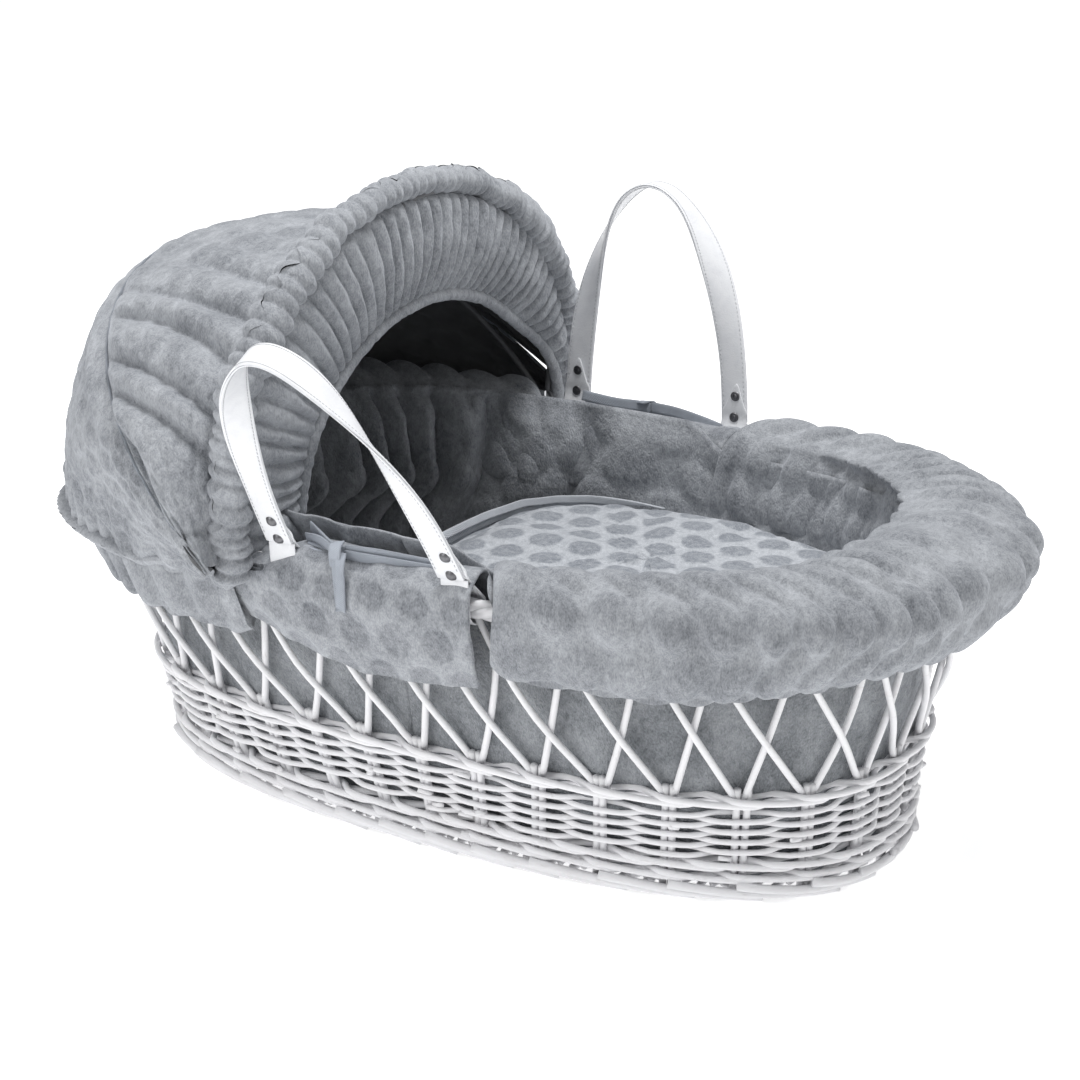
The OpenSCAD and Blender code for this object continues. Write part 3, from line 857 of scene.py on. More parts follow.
@dataclass
class Wall:
    """The basket's flaring oval wall, worked out from the frame's own boxes."""

    base: tuple[float, float, float] = (0.0, 0.0, 0.0)
    band: tuple[float, float, float] = (0.0, 0.0, 0.0)
    rim: tuple[float, float, float] = (0.0, 0.0, 0.0)
    squareness: tuple[float, float, float] = (2.5, 2.8, 2.7)
    pairs: int = 33
    phase: float = 0.0094
    steps: int = 720
    lengths: list[float] = field(default_factory=list)

    def measure(self) -> None:
        """Reads half sizes and heights off the frame, and measures the outline."""
        foot, band, rim = (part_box(n)[1] for n in ("foot_border", "weave_outer", "rim_border"))
        rim_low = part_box("rim_border")[0]
        rod = (rim.z - rim_low.z) / 2
        self.base = (foot.x - 0.002, foot.y - 0.002, 0.0)
        self.band = (band.x - 0.0004, band.y + 0.0007, 0.105)
        self.rim = (rim.x - 0.009, rim.y - 0.009, rim.z - rod)
        self.lengths = [0.0]
        for i in range(self.steps):
            a, b = (self.at_angle(k * 360 / self.steps - 90, self.band[2], 0) for k in (i, i + 1))
            self.lengths.append(self.lengths[-1] + (b - a).length)

    @property
    def outline(self) -> float:
        """Length round the wall at the top of the band."""
        return self.lengths[-1]

    @property
    def pitch(self) -> float:
        """Distance from one stake pair to the next."""
        return self.outline / self.pairs

    def sizes(self, z: float) -> tuple[float, float, float]:
        """Half length, half width and squareness at height z.

        Args:
            z: The height.

        Returns:
            The three numbers.
        """
        low, mid, top = self.base[2], self.band[2], self.rim[2]
        if z <= mid:
            share, a, b, i = clamp((z - low) / (mid - low)), self.base, self.band, 0
        else:
            share, a, b, i = clamp((z - mid) / (top - mid)), self.band, self.rim, 1
        power = mix(self.squareness[i], self.squareness[i + 1], share)
        return mix(a[0], b[0], share), mix(a[1], b[1], share), power

    def at_angle(self, degrees: float, z: float, out: float, ends: float = 1.0) -> Vector:
        """A point of the wall by angle.

        Args:
            degrees: The angle, 0 at the foot end and -90 at the middle of the near side.
            z: The height.
            out: Distance outside the wall's face.
            ends: How many times that distance at the two ends.

        Returns:
            The point.
        """
        half_x, half_y, power = self.sizes(z)
        t = math.radians(degrees)
        return Vector(((half_x + out * ends) * spow(math.cos(t), 2 / power),
                       (half_y + out) * spow(math.sin(t), 2 / power), z))

    def angle(self, run: float) -> float:
        """The angle that lies a run along the outline from the middle of the near side.

        Args:
            run: Metres along the outline.

        Returns:
            The angle in degrees.
        """
        run %= self.outline
        low, high = 0, self.steps
        while high - low > 1:
            middle = (low + high) // 2
            if self.lengths[middle] <= run:
                low = middle
            else:
                high = middle
        share = (run - self.lengths[low]) / (self.lengths[high] - self.lengths[low])
        return (low + share) * 360 / self.steps - 90

    def at_run(self, run: float, z: float, out: float, ends: float = 1.0) -> Vector:
        """A point of the wall by its run along the outline."""
        return self.at_angle(self.angle(run), z, out, ends)

    def rim_angle(self, x: float, side: Side) -> float:
        """The angle at which the rim has the length coordinate x."""
        share = spow(x / self.rim[0], self.squareness[2] / 2)
        return side.value * math.degrees(math.acos(clamp(share, -1, 1)))

    def stake(self, i: float) -> float:
        """The run of stake pair i."""
        return self.phase + i * self.pitch


# ---------------------------------------------------------------- wicker


@dataclass
class Wicker:
    """The woven basket: base, foot border, stakes, wales, randing, lattice and rim."""

    wall: Wall
    maker: Maker
    wardrobe: Wardrobe
    stake_d: float = 0.006
    weaver_d: float = 0.0047
    wale_d: float = 0.0058
    border_d: float = 0.0074
    middle: float = -0.0068
    randing: tuple[float, float, int] = (0.0445, 0.0895, 9)
    lattice_runs: tuple[float, float] = (-0.084, 0.028)
    dice: random.Random = field(default_factory=lambda: random.Random(7))

    def dress(self, piece: bpy.types.Object, *nodes: str) -> None:
        """Paints a wicker piece white and stands it for its CAD nodes."""
        self.wardrobe.dress(piece, "white_willow", "basket", "white_wicker", nodes)

    def foot_border(self) -> None:
        """The plaited border under the band: rods that start with a cut end and run down to the right."""
        runs = []
        for i in range(self.wall.pairs):
            start = self.wall.stake(i) + self.dice.uniform(-0.006, 0.006)
            reach = self.wall.pitch * self.dice.uniform(2.35, 2.65)
            rise = self.dice.uniform(-0.0012, 0.0012)
            run = []
            for k in range(15):
                share = k / 14
                z = mix(0.0185 + rise, 0.0042, share ** 0.85)
                out = mix(0.0045, -0.0035, share) + 0.0008 * math.sin(9 * share + i)
                run.append((self.wall.at_run(start + reach * share, z, out), 1 - 0.12 * share))
            runs.append(run)
        self.dress(self.maker.rods("woven_foot_border", runs, self.border_d, 10), "foot_border")

    def base(self) -> None:
        """The flat woven base: crosswise rods over and under the lengthwise sticks."""
        runs = []
        half_x, half_y, power = self.wall.sizes(0)
        half_x -= 0.010
        half_y -= 0.010
        count = 64
        for i in range(count):
            x = mix(-half_x * 0.985, half_x * 0.985, i / (count - 1))
            reach = half_y * (1 - (abs(x) / half_x) ** power) ** (1 / power)
            run = []
            for k in range(21):
                y = mix(-reach, reach, k / 20)
                z = 0.0100 + 0.0030 * math.cos(math.pi * (y / 0.045 + i))
                run.append((Vector((x, y, z)), 1.0))
            runs.append(run)
        for line, k in ((-0.112, 0), (0.112, 1), (-0.135, 0), (0.135, 1)):
            half = half_x * (1 - (abs(line) / half_y) ** power) ** (1 / power) * 0.96
            run = [(Vector((mix(-half, half, j / 40), line, 0.010 - 0.003 * math.cos(math.pi * j))), 1.0)
                   for j in range(41)]
            runs.append(run)
        self.dress(self.maker.rods("woven_base", runs, 0.0062, 8), "base_floor")

    def stakes(self) -> None:
        """Upright stakes in pairs, from the foot border to the top wale."""
        runs = []
        for i in range(self.wall.pairs):
            for sign in (-1, 1):
                run = self.wall.stake(i) + sign * (self.stake_d / 2 + 0.0002)
                lean = self.dice.uniform(-0.0008, 0.0008)
                runs.append([(self.wall.at_run(run + lean * k, mix(0.0045, 0.110, k / 4), self.middle), 1.0)
                             for k in range(5)])
        self.dress(self.maker.rods("stake_pairs", runs, self.stake_d, 8), "stakes")

    def wale(self, name: str, rows: Sequence[float], rod: float, slant: float, nodes: Sequence[str]) -> None:
        """Rows of three rods, each in front of two stake pairs and behind the next.

        Args:
            name: The piece's name.
            rows: The height of each row.
            rod: The rods' diameter.
            slant: How far a rod drops as it passes in front.
            nodes: The CAD nodes that it stands for.
        """
        runs = []
        reach = self.stake_d / 2 + rod / 2
        for row, height in enumerate(rows):
            for strand in range(3):
                run = []
                for k in range(self.wall.pairs * 8):
                    x = k / 8
                    turn = (x - strand - row * 0.5 + 0.5) % 3
                    front = smooth(turn / 0.45) * smooth((2.1 - turn) / 0.5)
                    drift = 0.0012 * front * math.sin(math.pi * turn / 2)
                    out = self.middle - reach + 2 * reach * front + drift
                    drop = slant * (1 - turn) if turn < 2 else slant * (2 * (turn - 2) - 1)
                    z = height + drop + 0.0004 * wander(x * 0.7, strand, row)
                    run.append((self.wall.at_run(self.wall.stake(x), z, out), 1.0))
                runs.append(run)
        self.dress(self.maker.rods(name, runs, rod, 8, ring=True), *nodes)

    def weave(self) -> None:
        """The randing: one thin rod that spirals up, in front of one stake pair and behind the next."""
        low, high, rows = self.randing
        count = self.wall.pairs * rows
        reach = self.stake_d / 2 + self.weaver_d / 2 - 0.0002
        run = []
        for k in range(count * 7 + 1):
            x = k / 7
            swing = math.cos(math.pi * x)
            out = self.middle + reach * spow(min(1.0, abs(swing) * 1.3), 0.8) * math.copysign(1, swing)
            z = mix(low, high, x / count) + 0.0007 * wander(x * 0.45, 3.0)
            run.append((self.wall.at_run(self.wall.stake(x), z, out), 1 + 0.10 * wander(x * 0.2, 9.0)))
        self.dress(self.maker.rods("randing", [run], self.weaver_d, 8), "weave_outer", "weave_inner")

    def cut_ends(self) -> None:
        """Short cut ends of weavers that poke out beside the stakes."""
        runs = []
        for k in range(46):
            i = self.dice.randrange(self.wall.pairs)
            z = self.dice.uniform(0.024, 0.094)
            start = self.wall.stake(i) + self.dice.choice((-1, 1)) * 0.007
            slide = self.dice.choice((-1, 1)) * self.dice.uniform(0.006, 0.016)
            far = self.dice.uniform(0.0035, 0.0065)
            runs.append([(self.wall.at_run(start + slide * t, z + 0.003 * t, self.middle + 0.003 + far * t),
                          1 - 0.1 * t) for t in (0, 0.5, 1)])
        self.dress(self.maker.rods("cut_weaver_ends", runs, 0.0044, 8))

    def lattice(self, name: str, sign: int, shift: float, node: str) -> None:
        """One layer of the open lattice: each stake of a pair leans its own way up to the rim.

        Args:
            name: The piece's name.
            sign: Which stake of each pair it is.
            shift: How far along the wall it runs on its way up.
            node: The CAD node that it stands for.
        """
        runs = []
        inset = 0.0032 if sign < 0 else -0.0032
        top_z = self.wall.rim[2] - 0.006
        for i in range(self.wall.pairs):
            start = self.wall.stake(i) + sign * (self.stake_d / 2 + 0.0002)
            reach = shift * self.dice.uniform(0.93, 1.07)
            bow = self.dice.uniform(-0.004, 0.006)
            run = []
            for k in range(13):
                share = k / 12
                z = mix(0.100, top_z, share)
                swing = math.sin(math.pi * share)
                along = start + reach * (share + 0.10 * swing) + bow * swing
                out = mix(self.middle, inset - 0.001, smooth(share * 2.2))
                run.append((self.wall.at_run(along, z, out), 1 - 0.12 * share))
            runs.append(run)
        self.dress(self.maker.rods(name, runs, self.stake_d, 10), node)

    def rim(self) -> None:
        """The rim border: four rods twisted into a rope."""
        runs = []
        twist = 30
        for strand in range(4):
            run = []
            for k in range(360):
                turn = TAU * (strand / 4 + twist * k / 360)
                z = self.wall.rim[2] + 0.0042 * math.sin(turn)
                run.append((self.wall.at_angle(k, z, 0.0042 * math.cos(turn)), 1.0))
            runs.append(run)
        self.dress(self.maker.rods("rim_rope", runs, 0.0090, 8, ring=True), "rim_border")

    def build(self) -> None:
        """Makes the whole basket."""
        self.foot_border()
        self.base()
        self.stakes()
        self.wale("lower_wale", (0.0245, 0.0365), self.wale_d, 0.0032, ())
        self.weave()
        self.wale("upper_wale", (0.0985,), self.wale_d, 0.0034, ("top_wale",))
        self.cut_ends()
        self.lattice("outer_lattice", -1, self.lattice_runs[0], "lattice_outer")
        self.lattice("inner_lattice", 1, self.lattice_runs[1], "lattice_inner")
        self.rim()
        self.wardrobe.repaint("base_sticks", "white_willow")


# ---------------------------------------------------------------- liner


@dataclass
class Liner:
    """The padded plush liner: its wall, the bumper in two parts, the flaps, their tapes and the ties."""

    wall: Wall
    maker: Maker
    wardrobe: Wardrobe
    foot_x: tuple[float, float] = (-0.088, 0.074)
    slot: float = 0.034
    ends: float = 2.5
    low_ends: float = 1.1
    roll: tuple[tuple[float, float], ...] = (
        (0.009, 0.199), (0.0125, 0.196), (0.0160, 0.205), (0.0185, 0.225), (0.0195, 0.248), (0.0185, 0.268),
        (0.0115, 0.2825), (-0.001, 0.2895), (-0.014, 0.288), (-0.026, 0.280), (-0.034, 0.264), (-0.037, 0.243),
        (-0.037, 0.220), (-0.033, 0.202), (-0.028, 0.204), (-0.027, 0.228), (-0.022, 0.248), (-0.010, 0.259),
        (0.002, 0.259), (0.010, 0.250), (0.0125, 0.232), (0.011, 0.212))

    def roll_at(self, share: float, low: float) -> tuple[float, float]:
        """A point round the bumper's section.

        Args:
            share: How far round, from 0 at the lower outer edge.
            low: How far the outer skirt's lower edge is moved down.

        Returns:
            The offset from the wall and the height.
        """
        count = len(self.roll)
        spot = (share % 1) * count
        i = int(spot)
        t = spot - i
        a, b, c, d = (self.roll[(i + k) % count] for k in (-1, 0, 1, 2))
        point = [0.5 * (2 * b[n] + (c[n] - a[n]) * t + (2 * a[n] - 5 * b[n] + 4 * c[n] - d[n]) * t * t
                        + (3 * b[n] - a[n] - 3 * c[n] + d[n]) * t ** 3) for n in (0, 1)]
        if point[0] > 0:
            point[1] -= low * smooth((0.245 - point[1]) / 0.045)
        return point[0], point[1]

    def bumper(self, name: str, node: str, start: float, stop: float, low: float, steps: int) -> None:
        """One part of the bumper, rolled over the rim, with raised dots and a seam at each end.

        Args:
            name: The piece's name.
            node: The CAD node that it stands for.
            start: The angle at which it starts.
            stop: The angle at which it ends.
            low: How much lower its skirt hangs.
            steps: Faces along it.
        """
        length = self.wall.outline * (stop - start) / 360 * 1.05
        around = 80

        def place(u: float, v: float) -> Vector:
            """Where the surface lies at (u, v)."""
            angle = mix(start, stop, u)
            out, z = self.roll_at(v, low)
            near_end = min(u, 1 - u) * length
            close = 1 - math.sqrt(clamp(near_end / 0.012)) if near_end < 0.012 else 0.0
            if close > 0:
                inner, inner_z = self.roll_at(self.mate(v), low)
                out = mix(out, (out + inner) / 2, close * 0.999)
                z = mix(z, (z + inner_z) / 2, close * 0.999)
            run = u * length
            sway = 0.0022 * wander(run * 9, v * 5, 2.0) + 0.0016 * wander(run * 26, v * 11, 5.0)
            shade = smooth((0.262 - z) / 0.05)
            inside = shade if out < -0.02 else 0.0
            outside = shade if out > 0.006 else 0.0
            fold = 0.0045 * inside * wander(run * 24, 1.0) + 0.0025 * outside * wander(run * 17, 7.0)
            z += 0.0030 * outside * wander(run * 11, 4.0)
            x = self.wall.at_angle(angle, z, 0).x
            if out > 0:
                z += 0.010 * smooth((x - 0.20) / 0.16) * smooth((0.25 - z) / 0.05)
            elif z < 0.275:
                fold = self.folds(angle, z)
                out += 0.012 * smooth((x - 0.12) / 0.18) * smooth((-out - 0.010) / 0.020)
            ends = mix(self.low_ends, self.ends, smooth((z - 0.190) / 0.065)) if out > 0 else self.ends
            return self.wall.at_angle(angle, z, out + (sway - fold) * (1 - close), ends)

        def relief(u: float, v: float) -> float:
            """Height above the surface at (u, v)."""
            near_end = min(u, 1 - u) * length
            if v > 0.66:
                return 0.0
            face = smooth((0.64 - v) / 0.05) * smooth(v / 0.06) * smooth(near_end / 0.02 - 0.4)
            crown = 1 - 0.45 * smooth((v - 0.30) / 0.1)
            puff = DOTS.level(u * length, v * self.cloth_round)
            drift = 0.75 + 0.45 * wander(u * length * 14, v * 7, 8.0)
            return face * crown * drift * 0.0110 * puff - face * 0.0032

        cloth = (length, self.cloth_round)
        piece = self.maker.surface(name, (steps, around), place, cloth, None, closed=True)
        swell(piece, 3.0, 0.006, 0.02)
        self.add_relief(piece, relief, length)
        soften(piece)
        self.wardrobe.dress(piece, "dotted_plush", "basket", "fleece", (node,))

    cloth_round: float = 0.285

    def folds(self, angle: float, z: float) -> float:
        """Depth of the upright folds of the inner face: deep at the head, shallow and wide at the foot.

        Args:
            angle: The angle round the wall, in degrees.
            z: The height.

        Returns:
            How far a fold stands out into the basket, or back if it is below 0.
        """
        x = self.wall.at_angle(angle, 0.25, 0).x
        head = smooth((0.10 - x) / 0.20)
        run = (angle + 90) % 360 / 360 * self.wall.outline
        depth = mix(0.0050, 0.0180, head) * smooth((0.286 - z) / 0.03)
        phase = run * 19 + 1.3 * wander(run * 5, 3.0) + 0.25 * wander(run * 9, z * 12)
        return depth * (pleat(phase, 0.85) - 0.62)

    def mate(self, share: float) -> float:
        """The place on the other face of the roll that lies behind a place on this one.

        Args:
            share: A place round the section, from 0 to 1.

        Returns:
            The other place.
        """
        seam = 13.5 / len(self.roll)
        if share <= seam:
            return 1 - share / seam * (1 - seam)
        return (1 - share) / (1 - seam) * seam

    def add_relief(self, piece: bpy.types.Object, relief: Relief, length: float) -> None:
        """Raises a finished mesh along its normals by a rule on its map.

        Args:
            piece: The piece.
            relief: Height at (u, v).
            length: The cloth's length, which turns its map back into shares.
        """
        mesh = bmesh.new()
        mesh.from_mesh(piece.data)
        layer = mesh.loops.layers.uv[0]
        mesh.normal_update()
        moves = []
        for vert in mesh.verts:
            if not vert.link_loops:
                continue
            spot = vert.link_loops[0][layer].uv
            moves.append((vert, vert.normal * relief(spot.x / length, spot.y / self.cloth_round)))
        for vert, move in moves:
            vert.co += move
        mesh.to_mesh(piece.data)
        mesh.free()

    def outer_fleece(self) -> None:
        """The long-pile back of the liner, which bulges softly between the lattice stakes."""
        wall = self.wall

        def place(u: float, v: float) -> Vector:
            """Where the surface lies at (u, v)."""
            run = u * wall.outline
            z = mix(0.014, 0.236, v)
            belly = math.sin(math.pi * v) ** 0.6
            soft = 0.0035 * wander(run * 20, v * 3, 1.0) + 0.0018 * wander(run * 60, v * 9, 2.0)
            soft += 0.002 * wander(run * 34, 6.0)
            return wall.at_run(run, z, mix(-0.020, -0.0125, smooth(v * 3)) + soft * belly)

        piece = self.maker.surface("liner_outer_fleece", (420, 44), place, (wall.outline, 0.225))
        self.close_seam(piece)
        thicken(piece, 0.002)
        self.wardrobe.dress(piece, "long_pile", "basket", "fleece", ("liner_wall",))

    def close_seam(self, piece: bpy.types.Object) -> None:
        """Merges the two edges of a sheet that goes all the way round.

        Args:
            piece: The sheet.
        """
        mesh = bmesh.new()
        mesh.from_mesh(piece.data)
        bmesh.ops.remove_doubles(mesh, verts=mesh.verts, dist=1e-5)
        mesh.to_mesh(piece.data)
        mesh.free()

    def inner_fleece(self) -> None:
        """The inner wall, gathered into deep upright folds towards the head."""
        wall = self.wall

        def place(u: float, v: float) -> Vector:
            """Where the surface lies at (u, v)."""
            angle = u * 360 - 90
            run = u * wall.outline
            cover = smooth((0.10 - wall.at_angle(angle, 0.25, 0).x) / 0.05)
            z = mix(0.030, mix(0.262, 0.282, cover), v)
            fold = self.folds(angle, z) + 0.003 * wander(run * 30, v * 6, 4.0) * (1 - v)
            over = mix(-0.0395, -0.0270, smooth((z - 0.250) / 0.034))
            out = mix(mix(-0.038, -0.034, v), over, cover)
            return wall.at_angle(angle, z, out - fold, mix(1.2, 2.4, smooth((z - 0.15) / 0.06) * cover))

        def relief(u: float, v: float) -> float:
            """Height above the surface at (u, v)."""
            return -0.0026 * DOTS.level(u * wall.outline, v * 0.235)

        piece = self.maker.surface("liner_inner_fleece", (640, 60), place, (wall.outline, 0.235), relief)
        self.close_seam(piece)
        thicken(piece, -0.002)
        self.wardrobe.dress(piece, "dotted_plush", "basket", "fleece")

    def flap(self, side: Side) -> None:
        """The flap between a handle's feet: over the rim and down outside, with smooth pale-ringed dots.

        Args:
            side: The side of the basket.
        """
        wall = self.wall
        from_x, to_x = self.foot_x[0] - 0.058, self.foot_x[1] + 0.012
        length = to_x - from_x
        section = ((-0.030, 0.205), (-0.031, 0.235), (-0.028, 0.258), (-0.019, 0.2685), (-0.006, 0.271),
                   (0.008, 0.268), (0.0165, 0.256), (0.0195, 0.238), (0.0195, 0.216), (0.0165, 0.196),
                   (0.012, 0.180))

        def place(u: float, v: float) -> Vector:
            """Where the surface lies at (u, v)."""
            x = mix(from_x, to_x, u)
            angle = wall.rim_angle(x, side)
            out, z, _ = curve_through([(o, h, 0) for o, h in section], v)
            head = smooth((self.foot_x[0] + 0.020 - x) / 0.05)
            over = smooth((z - 0.245) / 0.02)
            z -= over * head * 0.016
            outside = 1.0 if out > 0 else 0.0
            drop = smooth((0.245 - z) / 0.06) * outside
            slope = at_x(((0.0, 0.024), (0.30, 0.004), (0.55, -0.008), (0.8, -0.004), (1.0, 0.002)), u)[0]
            z += slope * drop
            under = mix(0, -0.003, head) * outside
            soft = 0.0026 * wander(x * 22, v * 5, side.value) + 0.0012 * wander(x * 60, v * 14, 3.0)
            sag = 0.0035 * math.sin(math.pi * u) * over
            return wall.at_angle(angle, z - sag, out + under + soft)

        def relief(u: float, v: float) -> float:
            """Height above the surface at (u, v)."""
            return 0.0016 * DOTS.level(u * length, v * 0.20) * smooth((v - 0.35) / 0.1)

        name = f"{side.name.lower()}_flap_cloth"
        piece = self.maker.surface(name, (72, 64), place, (length, 0.20), relief, flip=side is Side.FAR)
        thicken(piece, 0.004)
        soften(piece)
        self.wardrobe.dress(piece, "pressed_plush", "basket", "fleece", (f"{side.name.lower()}_flap",))

    def binding(self, side: Side) -> None:
        """The tape that binds the top edge of a flap, from foot to foot.

        Args:
            side: The side of the basket.
        """
        wall = self.wall
        low, high = self.foot_x[0] + 0.016, self.foot_x[1] - 0.014

        def edge(drop: float, out: float) -> Callable[[float], Vector]:
            """Makes a line along the flap that lies lower and further out by the given metres."""
            def line(share: float) -> Vector:
                """Where the strip lies at a share of its length."""
                x = mix(low, high, share)
                sag = 0.0035 * math.sin(math.pi * share)
                return wall.at_angle(wall.rim_angle(x, side), 0.2735 - sag - drop, out)
            return line

        slope = Vector((0, side.value * 0.62, -0.78))
        runs = [Ribbon(edge(0.002, -0.003), lambda share: Vector((0, 1, 0)), 0.011, 0.0016, 40),
                Ribbon(edge(0.0068, 0.0068), lambda share: slope, 0.009, 0.0016, 40)]
        name = f"{side.name.lower()}_flap_tape"
        piece = self.maker.ribbon(name, runs)
        self.wardrobe.dress(piece, "cotton_tape", "basket", "tape", (f"{side.name.lower()}_flap_binding",))

    def tie(self, side: Side, x: float) -> None:
        """A drawn tape tied in a half bow: knot, two runs back to the feet, a hanging loop and a tail.

        Args:
            side: The side of the basket.
            x: Where the knot lies along the length.
        """
        wall = self.wall
        y = wall.at_angle(wall.rim_angle(x, side), 0.25, 0).y
        out = side.value
        left, right = self.foot_x[0] + 0.012, self.foot_x[1] - 0.010
        flat = Vector((0, out * 0.25, 1))

        def through(points: Sequence[Sequence[float]]) -> Callable[[float], Vector]:
            """Makes a smooth line through points given from the knot."""
            moved = [Vector((x + p[0], y + out * p[1], 0.262 + p[2])) for p in points]
            return lambda share: curve_through(moved, share)

        runs = [
            Ribbon(through([(left - x, -0.010, 0.020), (-0.028, -0.004, 0.016), (-0.010, 0.006, 0.0135),
                            (0.004, 0.008, 0.012)]), lambda share: flat, 0.0095, 0.0016, 28),
            Ribbon(through([(left - x, -0.004, 0.012), (-0.026, 0.000, 0.0135), (-0.008, 0.008, 0.0115)]),
                   lambda share: flat, 0.009, 0.0016, 28),
            Ribbon(through([(0.004, 0.008, 0.0135), (0.030, 0.004, 0.014), (0.060, -0.002, 0.012),
                            (right - x, -0.008, 0.010)]), lambda share: flat, 0.0095, 0.0016, 32),
            Ribbon(through([(0.004, 0.009, 0.010), (0.030, 0.006, 0.0095), (0.060, 0.001, 0.0085),
                            (right - x, -0.004, 0.008)]), lambda share: flat, 0.009, 0.0016, 32),
            Ribbon(through([(-0.006, 0.004, 0.017), (-0.002, 0.014, 0.016), (0.001, 0.019, 0.008),
                            (0.000, 0.015, 0.001), (-0.003, 0.008, 0.002)]),
                   lambda share: Vector((1, 0, 0.12)), 0.011, 0.0017, 28),
            Ribbon(through([(0.001, 0.013, 0.012), (0.004, 0.021, 0.004), (0.006, 0.022, -0.012),
                            (0.007, 0.0215, -0.028),
                            (0.009, 0.0235, -0.030), (0.010, 0.0250, -0.012), (0.008, 0.0230, 0.004),
                            (0.004, 0.014, 0.012)]), lambda share: Vector((1, 0, 0.05)), 0.0088, 0.0015, 44),
        ]
        name = f"{side.name.lower()}_tie_bow"
        piece = self.maker.ribbon(name, runs)
        self.wardrobe.dress(piece, "cotton_tape", "basket", "tape", (f"{side.name.lower()}_tie",))

    def build(self) -> None:
        """Makes the whole liner."""
        seam = self.wall.rim_angle(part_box("bumper_foot")[0].x + 0.008, Side.NEAR)
        back = self.wall.rim_angle(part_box("bumper_head")[1].x - 0.010, Side.FAR)
        self.outer_fleece()
        self.inner_fleece()
        self.bumper("bumper_foot_roll", "bumper_foot", seam, -seam, 0.0, 300)
        self.bumper("bumper_head_roll", "bumper_head", back, 360 - back, 0.018, 260)
        for side, knot in ((Side.NEAR, -0.034), (Side.FAR, -0.018)):
            self.flap(side)
            self.binding(side)
            self.tie(side, knot)


# ---------------------------------------------------------------- bedding


